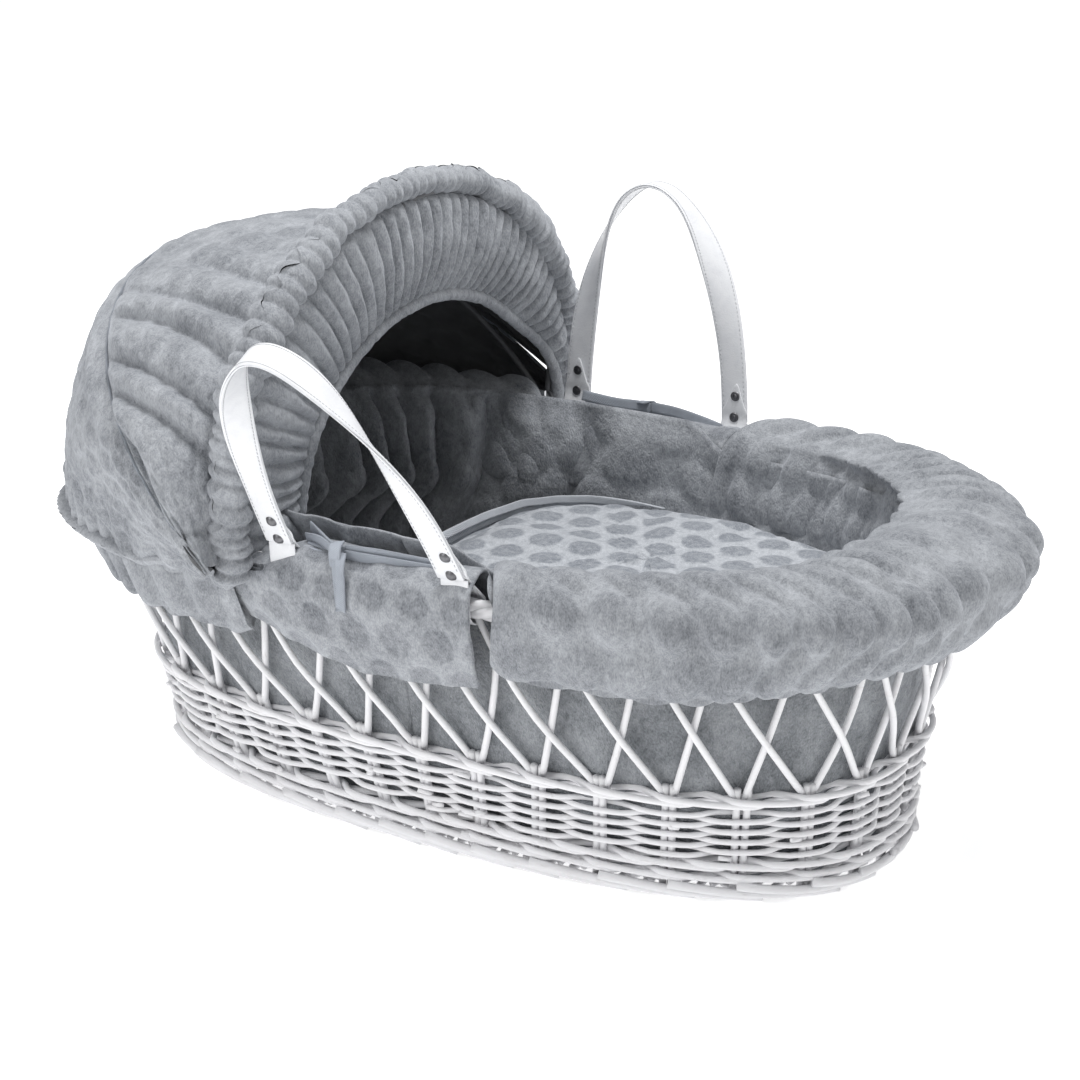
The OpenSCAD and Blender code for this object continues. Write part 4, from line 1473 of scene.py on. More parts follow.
@dataclass
class Bedding:
    """The mattress in its cover, and the quilted coverlet over it."""

    maker: Maker
    wardrobe: Wardrobe
    loft: float = 0.014

    def pillow(self, name: str, outline: Callable[[float], Vector], low: float, high: float, edge: float,
               crown: float, steps: tuple[int, int]) -> bpy.types.Object:
        """A closed pad on an outline, with rounded edges and a crowned top.

        Args:
            name: The piece's name.
            outline: Gives the edge of its plan at an angle in turns.
            low: The height of its underside.
            high: The height of its top at the edge.
            edge: The radius of its edges.
            crown: How much higher its middle is.
            steps: Faces round it and from middle to middle over the edge.

        Returns:
            The piece, with its map laid flat on its plan.
        """
        centre = (outline(0) + outline(0.5)) / 2

        def place(u: float, v: float) -> Vector:
            """Where the surface lies at (u, v)."""
            rim = outline(u) - centre
            if v < 0.62:
                share = v / 0.62
                reach = 1 - edge / rim.length
                spot = rim * share * reach
                lift = crown * (1 - share ** 2.6)
                return centre + Vector((spot.x, spot.y, high + lift))
            if v < 0.86:
                turn = (v - 0.62) / 0.24
                swing = math.sin(math.pi * turn)
                reach = 1 - edge / rim.length * (1 - swing ** 0.8)
                z = mix(low, high, 0.5 + 0.5 * math.cos(math.pi * turn))
                return centre + Vector((rim.x * reach, rim.y * reach, z))
            share = (1 - v) / 0.14
            reach = (1 - edge / rim.length) * share
            return centre + Vector((rim.x * reach, rim.y * reach, low))

        piece = self.maker.surface(name, steps, place, (1, 1), None, closed=True)
        mesh = bmesh.new()
        mesh.from_mesh(piece.data)
        layer = mesh.loops.layers.uv[0]
        for face in mesh.faces:
            for loop in face.loops:
                loop[layer].uv = (loop.vert.co.x + 1.0, loop.vert.co.y + 1.0)
        mesh.to_mesh(piece.data)
        mesh.free()
        return piece

    def mattress(self) -> None:
        """The mattress in its jersey cover, with piping round both edges and a foam core inside."""
        lo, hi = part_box("mattress_cover")
        half = (hi - lo) / 2

        def outline(turn: float) -> Vector:
            """The edge of the plan at an angle in turns."""
            t = TAU * turn
            return Vector((half.x * spow(math.cos(t), 2 / 2.6), half.y * spow(math.sin(t), 2 / 2.6), 0))

        piece = self.pillow("mattress_pad", outline, lo.z + 0.0005, hi.z - 0.003, 0.014, 0.003, (180, 44))
        swell(piece, 2.0, 0.004, 0.0)
        soften(piece)
        self.wardrobe.dress(piece, "white_jersey", "basket", "mattress_cloth", ("mattress_cover",))
        runs = [[(outline(k / 160) * 0.996 + Vector((0, 0, z)), 1.0) for k in range(160)]
                for z in (lo.z + 0.010, hi.z - 0.010)]
        piping = self.maker.rods("mattress_piping", runs, 0.0035, 8, ring=True)
        self.wardrobe.dress(piping, "pale_hem", "basket", "mattress_cloth")
        core = self.pillow("mattress_foam", lambda turn: outline(turn) * 0.965,
                           lo.z + 0.006, hi.z - 0.010, 0.004, 0.0, (120, 24))
        self.wardrobe.dress(core, "cream_foam", "basket", "foam", ("mattress_core",))

    def coverlet_outline(self, turn: float, lo: Vector, hi: Vector) -> Vector:
        """The edge of the coverlet's plan: squared at the head, rounded at the foot.

        Args:
            turn: The angle, in turns.
            lo: The lowest corner of its box.
            hi: The highest corner.

        Returns:
            The point, at height 0.
        """
        t = TAU * turn
        middle, half = (lo + hi) / 2, (hi - lo) / 2
        foot = math.cos(t) > 0
        power = 2.7 if foot else 4.2
        wide = half.y - 0.006
        return Vector((middle.x + (half.x - 0.004) * spow(math.cos(t), 2 / power),
                       wide * spow(math.sin(t), 2 / mix(2.7, 3.4, smooth(0.5 - math.cos(t)))), 0))

    def coverlet(self) -> None:
        """The coverlet: crowned and soft, with flat pressed dots that fade out towards the foot."""
        lo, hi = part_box("coverlet")

        def outline(turn: float) -> Vector:
            """The edge of the plan at an angle in turns."""
            return self.coverlet_outline(turn, lo, hi)

        top = hi.z + self.loft
        piece = self.pillow("coverlet_quilt", outline, 0.150, top - 0.012, 0.034, 0.010, (260, 96))
        swell(piece, 2.5, 0.006, 0.015)
        mesh = bmesh.new()
        mesh.from_mesh(piece.data)
        mesh.normal_update()
        moves = []
        for vert in mesh.verts:
            x, y = vert.co.x, vert.co.y
            up = smooth(vert.normal.z * 1.6)
            lift = 0.0013 * DOTS.level(x + 1.0, y + 1.0) * up
            foot = smooth((x - 0.20) / 0.10)
            rumple = 0.0024 * wander(x * 14, y * 14, 1.0) + 0.0014 * wander(x * 45, y * 45, 4.0)
            lift += rumple * (0.35 + foot)
            moves.append((vert, vert.normal * lift))
        for vert, move in moves:
            vert.co += move
        mesh.to_mesh(piece.data)
        mesh.free()
        soften(piece)
        self.wardrobe.dress(piece, "coverlet_plush", "basket", "fleece", ("coverlet",))
        self.hems(outline, top)

    def hems(self, outline: Callable[[float], Vector], top: float) -> None:
        """Three layered bound hems along the head edge of the coverlet.

        Args:
            outline: Gives the edge of the coverlet's plan at an angle in turns.
            top: The height of the pad's edge.
        """
        runs = []
        for layer, (drop, out, width) in enumerate(((0.0195, -0.0015, 0.007), (0.027, 0.0015, 0.007),
                                                    (0.035, 0.003, 0.007))):
            def line(share: float, drop: float = drop, out: float = out, layer: int = layer) -> Vector:
                """Where the strip lies at a share of its length."""
                spot = outline(mix(0.27, 0.73, share))
                wave = 0.0012 * wander(share * 9, layer)
                rise = 0.0012 * wander(share * 14, 5 + layer)
                return Vector((spot.x - out + wave, spot.y, top - drop + rise))

            runs.append(Ribbon(line, lambda share: Vector((-0.35, 0, 1)), width, 0.0035, 90, 0.0,
                               lambda share: smooth(min(share, 1 - share) / 0.12 + 0.1)))
        piece = self.maker.ribbon("coverlet_hems", runs)
        soften(piece)
        self.wardrobe.dress(piece, "pale_hem", "basket", "tape", ("coverlet_hem",))

    def build(self) -> None:
        """Makes the bedding."""
        self.mattress()
        self.coverlet()


# ---------------------------------------------------------------- handles


@dataclass
class Handle:
    """A carrying handle: two leathers stitched together, folded round the rim at each foot and riveted."""

    maker: Maker
    wardrobe: Wardrobe
    side: Side
    lean: float
    skew: float
    axis_y: float = 0.2208
    axis_z: float = 0.246
    middle: float = -0.007
    span: float = 0.162
    rise: float = 0.234
    width: float = 0.025
    leather: float = 0.0015
    rivets: tuple[float, float] = (0.036, 0.055)
    loop: float = 0.0110

    @property
    def word(self) -> str:
        """The side, as it stands in names."""
        return self.side.name.lower()

    def place(self, point: Vector) -> Vector:
        """A point of the handle's own frame, where -Y is outwards, in the basket's."""
        turn = Matrix.Rotation(math.radians(-self.side.value * self.lean), 3, "X")
        flipped = Vector((point.x, -self.side.value * point.y, point.z))
        return turn @ flipped + Vector((self.middle, self.side.value * self.axis_y, self.axis_z))

    def turn_vector(self, vector: Vector) -> Vector:
        """A direction of the handle's own frame in the basket's."""
        return self.place(vector) - self.place(Vector((0, 0, 0)))

    def arch(self, v: float) -> Vector:
        """The centre line from one foot (-1) over to the other (1)."""
        u = math.sin(math.radians(90 * (1 - abs(v))))
        leg = self.span / 2 * math.sqrt(max(0.0, 1 - u ** 2.3))
        return Vector((math.copysign(1, v) * leg + self.skew * u ** 1.5, 0, self.rise * u))

    def frame_at(self, v: float) -> tuple[Vector, Vector, Vector]:
        """Middle, width direction and outward direction of the strap at v.

        Args:
            v: How far along the arch, from -1 to 1.

        Returns:
            The middle and the two unit directions.
        """
        ahead = (self.arch(min(1, v + 0.004)) - self.arch(max(-1, v - 0.004))).normalized()
        flat = ahead.cross(Vector((0, -1, 0)))
        h = 1 - abs(v)
        turn = math.radians(90) * smooth((h - 0.20) / 0.62)
        wide = flat * math.cos(turn) + Vector((0, 1, 0)) * math.sin(turn)
        thick = Vector((0, -1, 0)) * math.cos(turn) + flat * math.sin(turn)
        return self.arch(v), wide, thick

    def strips(self) -> None:
        """The two leathers of the strap, one on the other."""
        start = 1 - math.degrees(math.asin(0.0315 / self.rise)) / 90
        for name, node, depth in (("leather", "leather", 1.5 * self.leather + 0.0002),
                                  ("lining", "lining", 0.5 * self.leather)):
            def line(share: float, depth: float = depth) -> Vector:
                """Where the strip lies at a share of its length."""
                middle, _, thick = self.frame_at(mix(-start, start, share))
                return self.place(middle + thick * depth)

            def across(share: float) -> Vector:
                """Which way its width lies there."""
                _, wide, _ = self.frame_at(mix(-start, start, share))
                return self.turn_vector(wide)

            strip = Ribbon(line, across, self.width, self.leather, 120)
            piece = self.maker.ribbon(f"{self.word}_strap_{name}", [strip])
            self.bevelled(piece)
            self.wardrobe.dress(piece, "white_leather", f"{self.word}_handle", "white_leather",
                                (f"{self.word}_handle_{node}",))

    def bevelled(self, piece: bpy.types.Object) -> None:
        """Rounds a strap's cut edges a little.

        Args:
            piece: The strap.
        """
        edge = piece.modifiers.new("edge", "BEVEL")
        edge.width = 0.00025
        edge.segments = 2
        edge.limit_method = "ANGLE"

    def stitches(self) -> None:
        """Small stitches along both edges of both faces."""
        start = 1 - math.degrees(math.asin(0.040 / self.rise)) / 90
        whole = bmesh.new()
        count = 150
        for face, depth in ((1, 2 * self.leather + 0.00045), (-1, -0.00015)):
            for edge in (-1, 1):
                for k in range(count):
                    v = mix(-start, start, (k + 0.5) / count)
                    middle, wide, thick = self.frame_at(v)
                    ahead = (self.arch(v + 0.003) - self.arch(v - 0.003)).normalized()
                    spot = middle + wide * edge * (self.width / 2 - 0.0022) + thick * depth
                    axes = [self.turn_vector(a) for a in (ahead, wide, thick)]
                    size = (0.0026, 0.00055, 0.00035)
                    made = bmesh.ops.create_cube(whole, size=1.0)["verts"]
                    centre = self.place(spot)
                    for vert in made:
                        pinch = 0.55 if vert.co.z * face > 0 else 1.0
                        vert.co = centre + sum((axes[n] * vert.co[n] * size[n] * (pinch if n < 2 else 1)
                                                for n in range(3)), Vector())
        bmesh.ops.recalc_face_normals(whole, faces=whole.faces)
        piece = self.maker.put(f"{self.word}_strap_stitches", whole)
        self.wardrobe.dress(piece, "stitch_thread", f"{self.word}_handle", "white_leather")

    def ends(self) -> None:
        """Each foot: the leather goes down outside, round the rim border and up to a pointed tab inside."""
        runs = []
        radius = self.loop + self.leather / 2
        reach = 0.031
        tilt = math.asin(radius / reach)
        top = self.rivets[1] + 0.011
        points = [(0.5 * self.leather + 0.0004, top), (0.5 * self.leather + 0.0004, 0.045),
                  (0.5 * self.leather + 0.0006, reach)]
        arc = [(radius * math.cos(a), radius * math.sin(a))
               for a in (mix(tilt * 0.9, -math.pi - tilt * 0.9, k / 14) for k in range(15))]
        points += arc + [(-0.5 * self.leather, reach)]
        for sign in (-1, 1):
            spots = [self.place(Vector((sign * self.span / 2, y, z))) for y, z in points]

            def line(share: float, spots: list[Vector] = spots) -> Vector:
                """Where the strip lies at a share of its length."""
                return curve_through(spots, share)

            def taper(share: float) -> float:
                """How wide it is there."""
                return clamp(0.06 + share / 0.075) if share < 0.075 else 1.0

            runs.append(Ribbon(line, lambda share: Vector((1, 0, 0)), self.width, self.leather,
                               90, 0.0, taper))
        piece = self.maker.ribbon(f"{self.word}_strap_ends", runs)
        self.bevelled(piece)
        self.wardrobe.dress(piece, "white_leather", f"{self.word}_handle", "white_leather",
                            (f"{self.word}_handle_ends",))

    def rivet_caps(self) -> None:
        """Polished domed rivets outside and flat burrs inside."""
        whole = bmesh.new()
        dome = [(0.0, 0.0030), (0.0016, 0.0028), (0.0031, 0.0021), (0.0042, 0.0010), (0.0046, 0.0002),
                (0.0050, 0.0001), (0.0050, -0.0006)]
        burr = [(0.0, 0.0011), (0.0012, 0.0013), (0.0022, 0.0006), (0.0034, 0.0012), (0.0045, 0.0006),
                (0.0045, -0.0004)]
        for sign in (-1, 1):
            for height in self.rivets:
                faces = ((dome, -1, 2 * self.leather + 0.0003), (burr, 1, self.leather + 0.0006))
                for shape, face, depth in faces:
                    part = bmesh.new()
                    spots = [part.verts.new((r, 0, h)) for r, h in shape]
                    for a, b in zip(spots, spots[1:]):
                        part.edges.new((a, b))
                    bmesh.ops.spin(part, geom=part.verts[:] + part.edges[:], axis=(0, 0, 1), cent=(0, 0, 0),
                                   angle=TAU, steps=28, use_merge=True)
                    bmesh.ops.remove_doubles(part, verts=part.verts, dist=1e-6)
                    bmesh.ops.holes_fill(part, edges=[e for e in part.edges if e.is_boundary], sides=0)
                    for vert in part.verts:
                        local = Vector((sign * self.span / 2 + vert.co.x, face * (depth + vert.co.z),
                                        height + vert.co.y))
                        vert.co = self.place(local)
                    bmesh.ops.recalc_face_normals(part, faces=part.faces)
                    data = bpy.data.meshes.new("rivet")
                    part.to_mesh(data)
                    part.free()
                    whole.from_mesh(data)
                    bpy.data.meshes.remove(data)
        piece = self.maker.put(f"{self.word}_strap_rivets", whole)
        soften(piece)
        self.wardrobe.dress(piece, "dark_nickel", f"{self.word}_handle", "dark_nickel",
                            (f"{self.word}_handle_rivets",))

    def build(self) -> None:
        """Makes the whole handle."""
        self.strips()
        self.stitches()
        self.ends()
        self.rivet_caps()


# ---------------------------------------------------------------- hood


@dataclass
class Hood:
    """The folding hood: top and back panels on two hoops, the ruffle and the gathered frill."""

    wall: Wall
    maker: Maker
    wardrobe: Wardrobe
    pivot: Vector = field(default_factory=lambda: Vector((-0.137, 0, 0.262)))
    front_lean: float = 8.0
    seam_lean: float = 50.0
    seam_r: float = 0.2820
    opening: tuple[float, ...] = (0.157, 0.164, 0.160, 0.156, 0.163, 0.190, 0.258)
    border: tuple[float, ...] = (0.228, 0.266, 0.266, 0.247, 0.240, 0.250, 0.266)
    roll: float = 0.0115
    pleats: int = 46
    hem_z: float = 0.226
    hem_out: float = 0.022
    ends: float = 2.5

    def at(self, lean: float, radius: float, turn: float, forward: float = 0.0) -> Vector:
        """A point of a hoop's own frame.

        Args:
            lean: The hoop's forward lean in degrees.
            radius: Distance from the middle of the pivot line.
            turn: The angle from the near pivot, in radians.
            forward: Distance in front of the hoop's plane.

        Returns:
            The point.
        """
        spot = Vector((forward, -radius * math.cos(turn), radius * math.sin(turn)))
        return Matrix.Rotation(math.radians(lean), 3, "Y") @ spot + self.pivot

    def reach(self, line: Sequence[float], turn: float) -> float:
        """Radius of the opening's or the border's line at an angle from the near pivot."""
        return curve_through([(r, 0, 0) for r in line], turn / math.pi).x

    def ruffle(self) -> None:
        """The gathered roll over the front hoop, puckered all along."""
        first, last = math.radians(-9), math.radians(188)

        def place(u: float, v: float) -> Vector:
            """Where the surface lies at (u, v)."""
            turn = mix(first, last, u)
            run = turn * 0.26
            middle = self.reach(self.border, turn) + self.roll
            low = smooth((0.75 - abs(turn - math.pi / 2)) / 0.7)
            loose = 1 - low
            phase = run / 0.0125 + 0.9 * wander(run * 22, 1.0)
            pucker = pleat(phase, 0.7)
            radius = 0.0105 * (0.80 + 0.26 * pucker + 0.16 * wander(run * 60, v * 2, 3.0))
            radius *= mix(1.0, 1.45, loose ** 3) * smooth(min(u, 1 - u) * 40 + 0.25)
            sway = 0.0026 * wander(run * 34, 5.0) * (0.6 + loose)
            swing = 0.0030 * wander(run * 27, 8.0) * (0.6 + loose)
            angle = TAU * v + 0.35 * math.sin(phase * math.pi)
            return self.at(self.front_lean, middle + sway + radius * 1.1 * math.cos(angle), turn,
                           swing + 0.001 + radius * 1.15 * math.sin(angle))

        piece = self.maker.surface("hood_ruffle_roll", (560, 18), place, (1.1, 0.09), None, closed=True)
        soften(piece)
        self.wardrobe.dress(piece, "gathered_plush", "hood_front", "gathered_fleece", ("hood_ruffle",))

    def frill_at(self, turn: float, share: float) -> tuple[float, float]:
        """Radius and forward place of the frill's face.

        Args:
            turn: The angle from the near pivot.
            share: From 0 at the opening to 1 at the ruffle.

        Returns:
            The radius and the distance in front of the hoop's plane.
        """
        inner, outer = self.reach(self.opening, turn), self.reach(self.border, turn)
        base = mix(inner, outer + 0.002, share)
        side = smooth((abs(turn - math.pi / 2) - 0.95) / 0.5)
        twist = 0.30 * side * (share - 0.5) + 0.06 * wander(turn * 9, share * 2)
        phase = (turn + twist * 0.12) / math.pi * self.pleats + 0.35 * wander(turn * 7, 2.0)
        bulge = 0.5 + 0.5 * math.cos(TAU * (share * 2.4 + 0.6 * wander(turn * 14, 4.0)))
        depth = 0.0090 * smooth(share / 0.12) * (0.70 + 0.30 * bulge)
        puff = 0.0105 * math.sin(math.pi * clamp(share)) ** 0.8
        crease = pleat(phase, 0.55)
        drift = 0.0015 * wander(turn * 30, share * 6, 6.0)
        return base, 0.0075 + puff + depth * (crease - 0.75) + drift

    def frill_band(self) -> None:
        """The gathered band between the ruffle and the opening, in rounded radial pleats."""
        first, last = math.radians(-3), math.radians(182)

        def place(u: float, v: float) -> Vector:
            """Where the surface lies at (u, v)."""
            turn = mix(first, last, u)
            if v <= 0.6:
                radius, forward = self.frill_at(turn, v / 0.6)
                return self.at(self.front_lean, radius, turn, forward)
            share = (1 - v) / 0.4
            radius, forward = self.frill_at(turn, share)
            back = -0.0045 * math.sin(math.pi * share) ** 0.5 if 0 < share < 1 else 0.0
            if 0 < share < 1:
                forward = min(forward - 0.004, back)
            return self.at(self.front_lean, radius, turn, forward)

        piece = self.maker.surface("hood_frill_pleats", (552, 40), place, (0.80, 0.18), None, closed=True)
        soften(piece)
        self.wardrobe.dress(piece, "gathered_plush", "hood_front", "gathered_fleece", ("hood_frill",))

    def frill_edge(self) -> None:
        """The fluffy elastic edge round the opening."""
        first, last = math.radians(-6), math.radians(183)

        def place(u: float, v: float) -> Vector:
            """Where the surface lies at (u, v)."""
            turn = mix(first, last, u)
            run = turn * 0.17
            radius = 0.0052 * (1 + 0.16 * pleat(run / 0.011, 0.6) + 0.15 * wander(run * 120, v * 3, 2.0))
            radius *= smooth(min(u, 1 - u) * 50 + 0.2)
            sway = 0.0012 * wander(run * 60, 3.0)
            inner = self.reach(self.opening, turn)
            return self.at(self.front_lean, inner - 0.001 + sway + radius * math.cos(TAU * v), turn,
                           0.0085 + radius * math.sin(TAU * v))

        piece = self.maker.surface("hood_opening_edge", (300, 12), place, (0.8, 0.04), None, closed=True)
        soften(piece)
        self.wardrobe.dress(piece, "gathered_plush", "hood_front", "gathered_fleece",
                            ("hood_frill_binding",))

    def top_at(self, u: float, w: float) -> Vector:
        """A point of the top panel.

        Args:
            u: How far across, from the near pivot to the far one.
            w: How far from the front hoop to the seam behind the rear one.

        Returns:
            The point.
        """
        turn = math.radians(mix(-3, 183, u))
        front = self.at(self.front_lean - 1.0, self.reach(self.border, turn) + 0.006, turn, -0.004)
        rear = self.at(-self.seam_lean, self.seam_r, turn)
        spot = front.lerp(rear, w)
        middle = math.sin(math.pi * w)
        out = (spot - self.pivot).normalized()
        side = clamp(abs(turn - math.pi / 2) / (math.pi / 2))
        dip = 0.019 * (1 - side ** 2) * smooth(w / 0.09) * (1 - smooth((w - 0.08) / 0.75))
        return spot + out * (middle * mix(0.000, 0.014, side) - dip)

    def top_panel(self) -> None:
        """The top and sides of the canopy, with folds that run down to the foot of the front hoop."""
        length = math.pi * 0.26
        front_r = 0.26

        def relief(u: float, w: float) -> float:
            """Height above the surface at (u, v)."""
            turn = math.radians(mix(-3, 183, u))
            from_side = turn if turn < math.pi / 2 else math.pi - turn
            slant = from_side - 0.42 * w * smooth(from_side / 0.5)
            phase = slant / 0.155 + 0.30 * wander(slant * 5, w * 1.5, turn)
            envelope = smooth((1.30 - from_side) / 0.45) * smooth((from_side - 0.02) / 0.1)
            envelope *= 0.35 + 0.65 * smooth(w / 0.25) * smooth((1.02 - w) / 0.12)
            fold = 0.0130 * envelope * (pleat(phase, 0.75) - 0.62)
            pucker = 0.0035 * smooth((0.22 - w) / 0.22) * (pleat(turn * front_r / 0.020, 0.7) - 0.5)
            seam = -0.004 * smooth((w - 0.95) / 0.05)
            fold *= smooth((1.0 - w) / 0.05)
            top = 1 - envelope
            ridge = -0.004 * top * math.sin(math.pi * w) * smooth((pleat(w * 2.1 + 0.3, 1.0) - 0.2))
            dots = 0.0024 * DOTS.level(u * length, w * 0.25) * smooth(w / 0.2) * smooth((1 - w) / 0.08)
            return fold + pucker + seam + ridge + dots + 0.0022 * wander(turn * 9, w * 5, 2.0)

        piece = self.maker.surface("hood_top_cloth", (300, 96), self.top_at, (length, 0.25), relief)
        # The back face takes the second slot, the lining's dark grey that paints the shade inside the hood.
        thicken(piece, 0.0022, 1)
        soften(piece)
        self.wardrobe.dress(piece, "dotted_plush", "", "fleece", ("hood_top_panel",), "lining_painted_shade")
        fore = self.at(self.front_lean, front_r, math.pi / 2)
        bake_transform(piece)

    def back_at(self, u: float, w: float) -> Vector:
        """A point of the back panel.

        Args:
            u: How far across, from the near side to the far one.
            w: How far from the seam to the hem.

        Returns:
            The point.
        """
        turn = math.radians(mix(-3, 183, u))
        top = self.at(-self.seam_lean - 0.4, self.seam_r, turn)
        start = 360 + self.wall.rim_angle(self.pivot.x + 0.010, Side.NEAR)
        stop = self.wall.rim_angle(self.pivot.x + 0.010, Side.FAR)
        low = self.wall.at_angle(mix(start, stop, u), self.hem_z, self.hem_out, self.ends)
        across = math.sin(math.pi * clamp(u, 0.02, 0.98)) ** 0.5
        bulge = 0.020 * math.sin(math.pi * w) * across
        return top.lerp(low, w) + Vector((-bulge, 0, bulge * 0.5))

    def back_panel(self) -> None:
        """The back of the canopy, which swells over the head end and gathers into its hem."""
        length = 0.98

        def relief(u: float, w: float) -> float:
            """Height above the surface at (u, v)."""
            run = u * length
            gather = smooth((w - 0.35) / 0.6)
            fold = 0.0062 * gather * (pleat(run / 0.030 + 0.5 * wander(run * 11, 1.0), 0.8) - 0.6)
            long = 0.0050 * smooth((w - 0.08) / 0.2) * wander(run * 12, w * 1.2, 6.0)
            seam = -0.004 * smooth((0.06 - w) / 0.06) + 0.0035 * math.exp(-((w - 0.12) / 0.06) ** 2)
            dots = 0.0020 * DOTS.level(run, w * 0.22) * (1 - 0.7 * gather)
            return fold + long + seam + dots + 0.0016 * wander(run * 40, w * 12, 3.0)

        piece = self.maker.surface("hood_back_cloth", (300, 84), self.back_at, (length, 0.22), relief)
        # The back face takes the second slot, the lining's dark grey that paints the shade inside the hood.
        thicken(piece, 0.0022, 1)
        soften(piece)
        self.wardrobe.dress(piece, "dotted_plush", "", "fleece", ("hood_back_panel",), "lining_painted_shade")
        hoop = self.at(-self.seam_lean, self.seam_r, math.pi / 2)
        hem = self.back_at(0.5, 1.0)
        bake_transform(piece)

    def piping(self) -> None:
        """The narrow piped seam along the rear hoop."""
        first, last = math.radians(-1), math.radians(181)
        steps = 150
        run = []
        for k in range(steps + 1):
            radius = self.seam_r - 0.0035 + 0.0004 * wander(k * 0.7)
            spot = self.at(-self.seam_lean - 0.2, radius, mix(first, last, k / steps))
            run.append((spot, 1 + 0.12 * wander(k * 0.9, 4.0)))
        piece = self.maker.rods("hood_seam_cord", [run], 0.0026, 8)
        self.wardrobe.dress(piece, "cotton_tape", "hood_rear", "tape", ("hood_seam_piping",))

    def hem(self) -> None:
        """The soft elastic hem round the head end, where the back panel ends."""
        def place(u: float, v: float) -> Vector:
            """Where the surface lies at (u, v)."""
            start = 360 + self.wall.rim_angle(self.pivot.x + 0.012, Side.NEAR)
            stop = self.wall.rim_angle(self.pivot.x + 0.012, Side.FAR)
            run = u * 0.98
            gather = pleat(run / 0.014 + wander(run * 15), 0.7)
            radius = 0.0058 * (0.85 + 0.25 * gather + 0.1 * wander(run * 90, v))
            radius *= smooth(min(u, 1 - u) * 40 + 0.2)
            rise = 0.022 * smooth((0.10 - min(u, 1 - u)) / 0.10)
            z = self.hem_z - 0.001 + rise + radius * math.sin(TAU * v)
            return self.wall.at_angle(mix(start, stop, u), z,
                                      self.hem_out - 0.001 + radius * math.cos(TAU * v), self.ends)

        piece = self.maker.surface("hood_hem_elastic", (420, 12), place, (1.0, 0.04), None, closed=True)
        soften(piece)
        self.wardrobe.dress(piece, "gathered_plush", "basket", "tape", ("hood_hem",))

    def build(self) -> None:
        """Makes the whole hood."""
        self.ruffle()
        self.frill_band()
        self.frill_edge()
        self.top_panel()
        self.back_panel()
        self.piping()
        self.hem()
        # The hoops take the lining's dark grey, painted shade that sinks them into the shaded inside of the
        # hood.
        for node in ("front_hoop", "rear_hoop"):
            self.wardrobe.repaint(node, "lining_painted_shade")
        for node in ("hood_pins", "hood_brackets"):
            self.wardrobe.repaint(node, "spring_wire")


# ---------------------------------------------------------------- studio


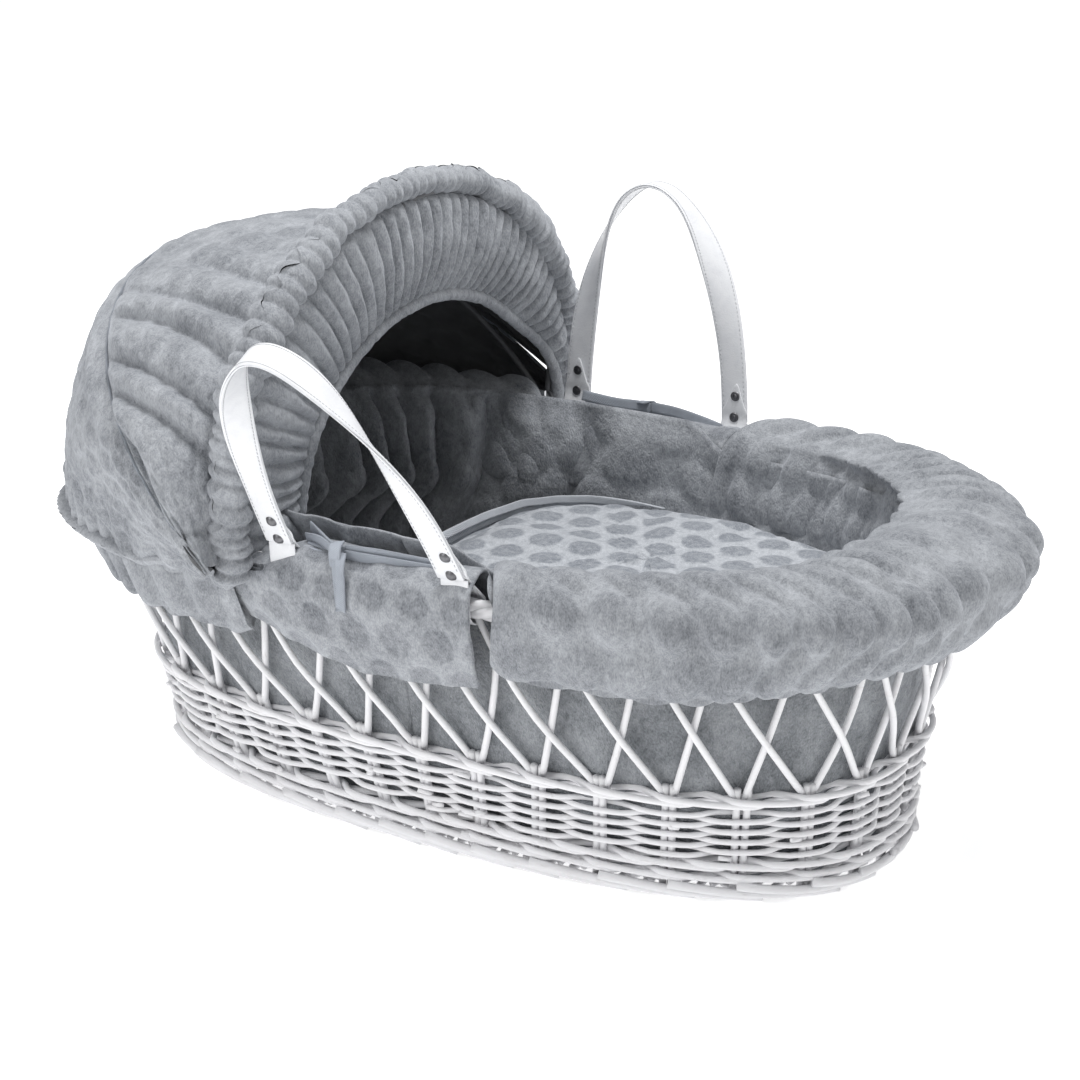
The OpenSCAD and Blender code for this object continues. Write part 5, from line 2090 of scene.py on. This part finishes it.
@dataclass
class Studio:
    """A plain white floor, soft light and the camera."""

    azimuth: float = 31.30
    elevation: float = 19.44
    distance: float = 2.4536
    lens: float = 96.77
    aim: Vector = field(default_factory=lambda: Vector((0.0056, 0.0032, 0.22)))

    def camera(self) -> None:
        """The camera at the viewing angle."""
        a, e = math.radians(self.azimuth), math.radians(self.elevation)
        back = Vector((math.sin(a) * math.cos(e), -math.cos(a) * math.cos(e), math.sin(e)))
        data = bpy.data.cameras.new("camera")
        data.lens = self.lens
        data.sensor_width = 36
        eye = bpy.data.objects.new("camera", data)
        bpy.context.scene.collection.objects.link(eye)
        eye.location = self.aim + back * self.distance
        eye.rotation_mode = "QUATERNION"
        eye.rotation_quaternion = (-back).to_track_quat("-Z", "Y")
        bpy.context.scene.camera = eye

    def lamp(self, name: str, place: Sequence[float], size: float, power: float) -> None:
        """A large soft light that looks at the basket.

        Args:
            name: Its name.
            place: Where it hangs.
            size: The length of its side.
            power: Its power in watts.
        """
        data = bpy.data.lights.new(name, "AREA")
        data.size = size
        data.energy = power
        lamp = bpy.data.objects.new(name, data)
        bpy.context.scene.collection.objects.link(lamp)
        lamp.location = place
        lamp.rotation_mode = "QUATERNION"
        lamp.rotation_quaternion = (self.aim - Vector(place)).to_track_quat("-Z", "Y")

    def floor(self) -> None:
        """The white floor."""
        mesh = bmesh.new()
        bmesh.ops.create_grid(mesh, x_segments=2, y_segments=2, size=30)
        data = bpy.data.meshes.new("floor")
        mesh.to_mesh(data)
        mesh.free()
        floor = bpy.data.objects.new("floor", data)
        bpy.context.scene.collection.objects.link(floor)
        paint = bpy.data.materials.new("white_floor")
        paint.use_nodes = True
        shader = paint.node_tree.nodes["Principled BSDF"]
        shader.inputs["Base Color"].default_value = (0.93, 0.93, 0.93, 1)
        shader.inputs["Roughness"].default_value = 0.9
        shader.inputs["Emission Color"].default_value = (1, 1, 1, 1)
        shader.inputs["Emission Strength"].default_value = 0.55
        data.materials.append(paint)

    def build(self) -> None:
        """Sets the whole studio up."""
        self.camera()
        self.floor()
        world = bpy.data.worlds.new("white")
        bpy.context.scene.world = world
        world.use_nodes = True
        sky = world.node_tree.nodes["Background"]
        sky.inputs["Color"].default_value = (1, 1, 1, 1)
        path = world.node_tree.nodes.new("ShaderNodeLightPath")
        level = world.node_tree.nodes.new("ShaderNodeMapRange")
        level.inputs["To Min"].default_value = 0.50
        level.inputs["To Max"].default_value = 1.0
        world.node_tree.links.new(path.outputs["Is Camera Ray"], level.inputs["Value"])
        world.node_tree.links.new(level.outputs["Result"], sky.inputs["Strength"])
        bpy.context.scene.view_settings.view_transform = "Standard"
        self.lamp("key", (0.25, 0.10, 2.5), 0.8, 46)
        self.lamp("side", (-0.9, -2.0, 1.5), 0.9, 14)


def main() -> None:
    """Builds the basket, piece by piece."""
    logging.basicConfig(level=logging.INFO, format="%(name)s: %(message)s")
    studio = Studio()
    studio.build()
    wall = Wall()
    wall.measure()
    maker = Maker()
    wardrobe = Wardrobe()
    wardrobe.stock()
    Wicker(wall, maker, wardrobe).build()
    Liner(wall, maker, wardrobe).build()
    Bedding(maker, wardrobe).build()
    Handle(maker, wardrobe, Side.NEAR, 26.0, -0.028).build()
    Handle(maker, wardrobe, Side.FAR, 5.0, -0.012).build()
    Hood(wall, maker, wardrobe).build()
    LOG.info("%d pieces made", len(maker.made))


if __name__ == "__main__":
    main()
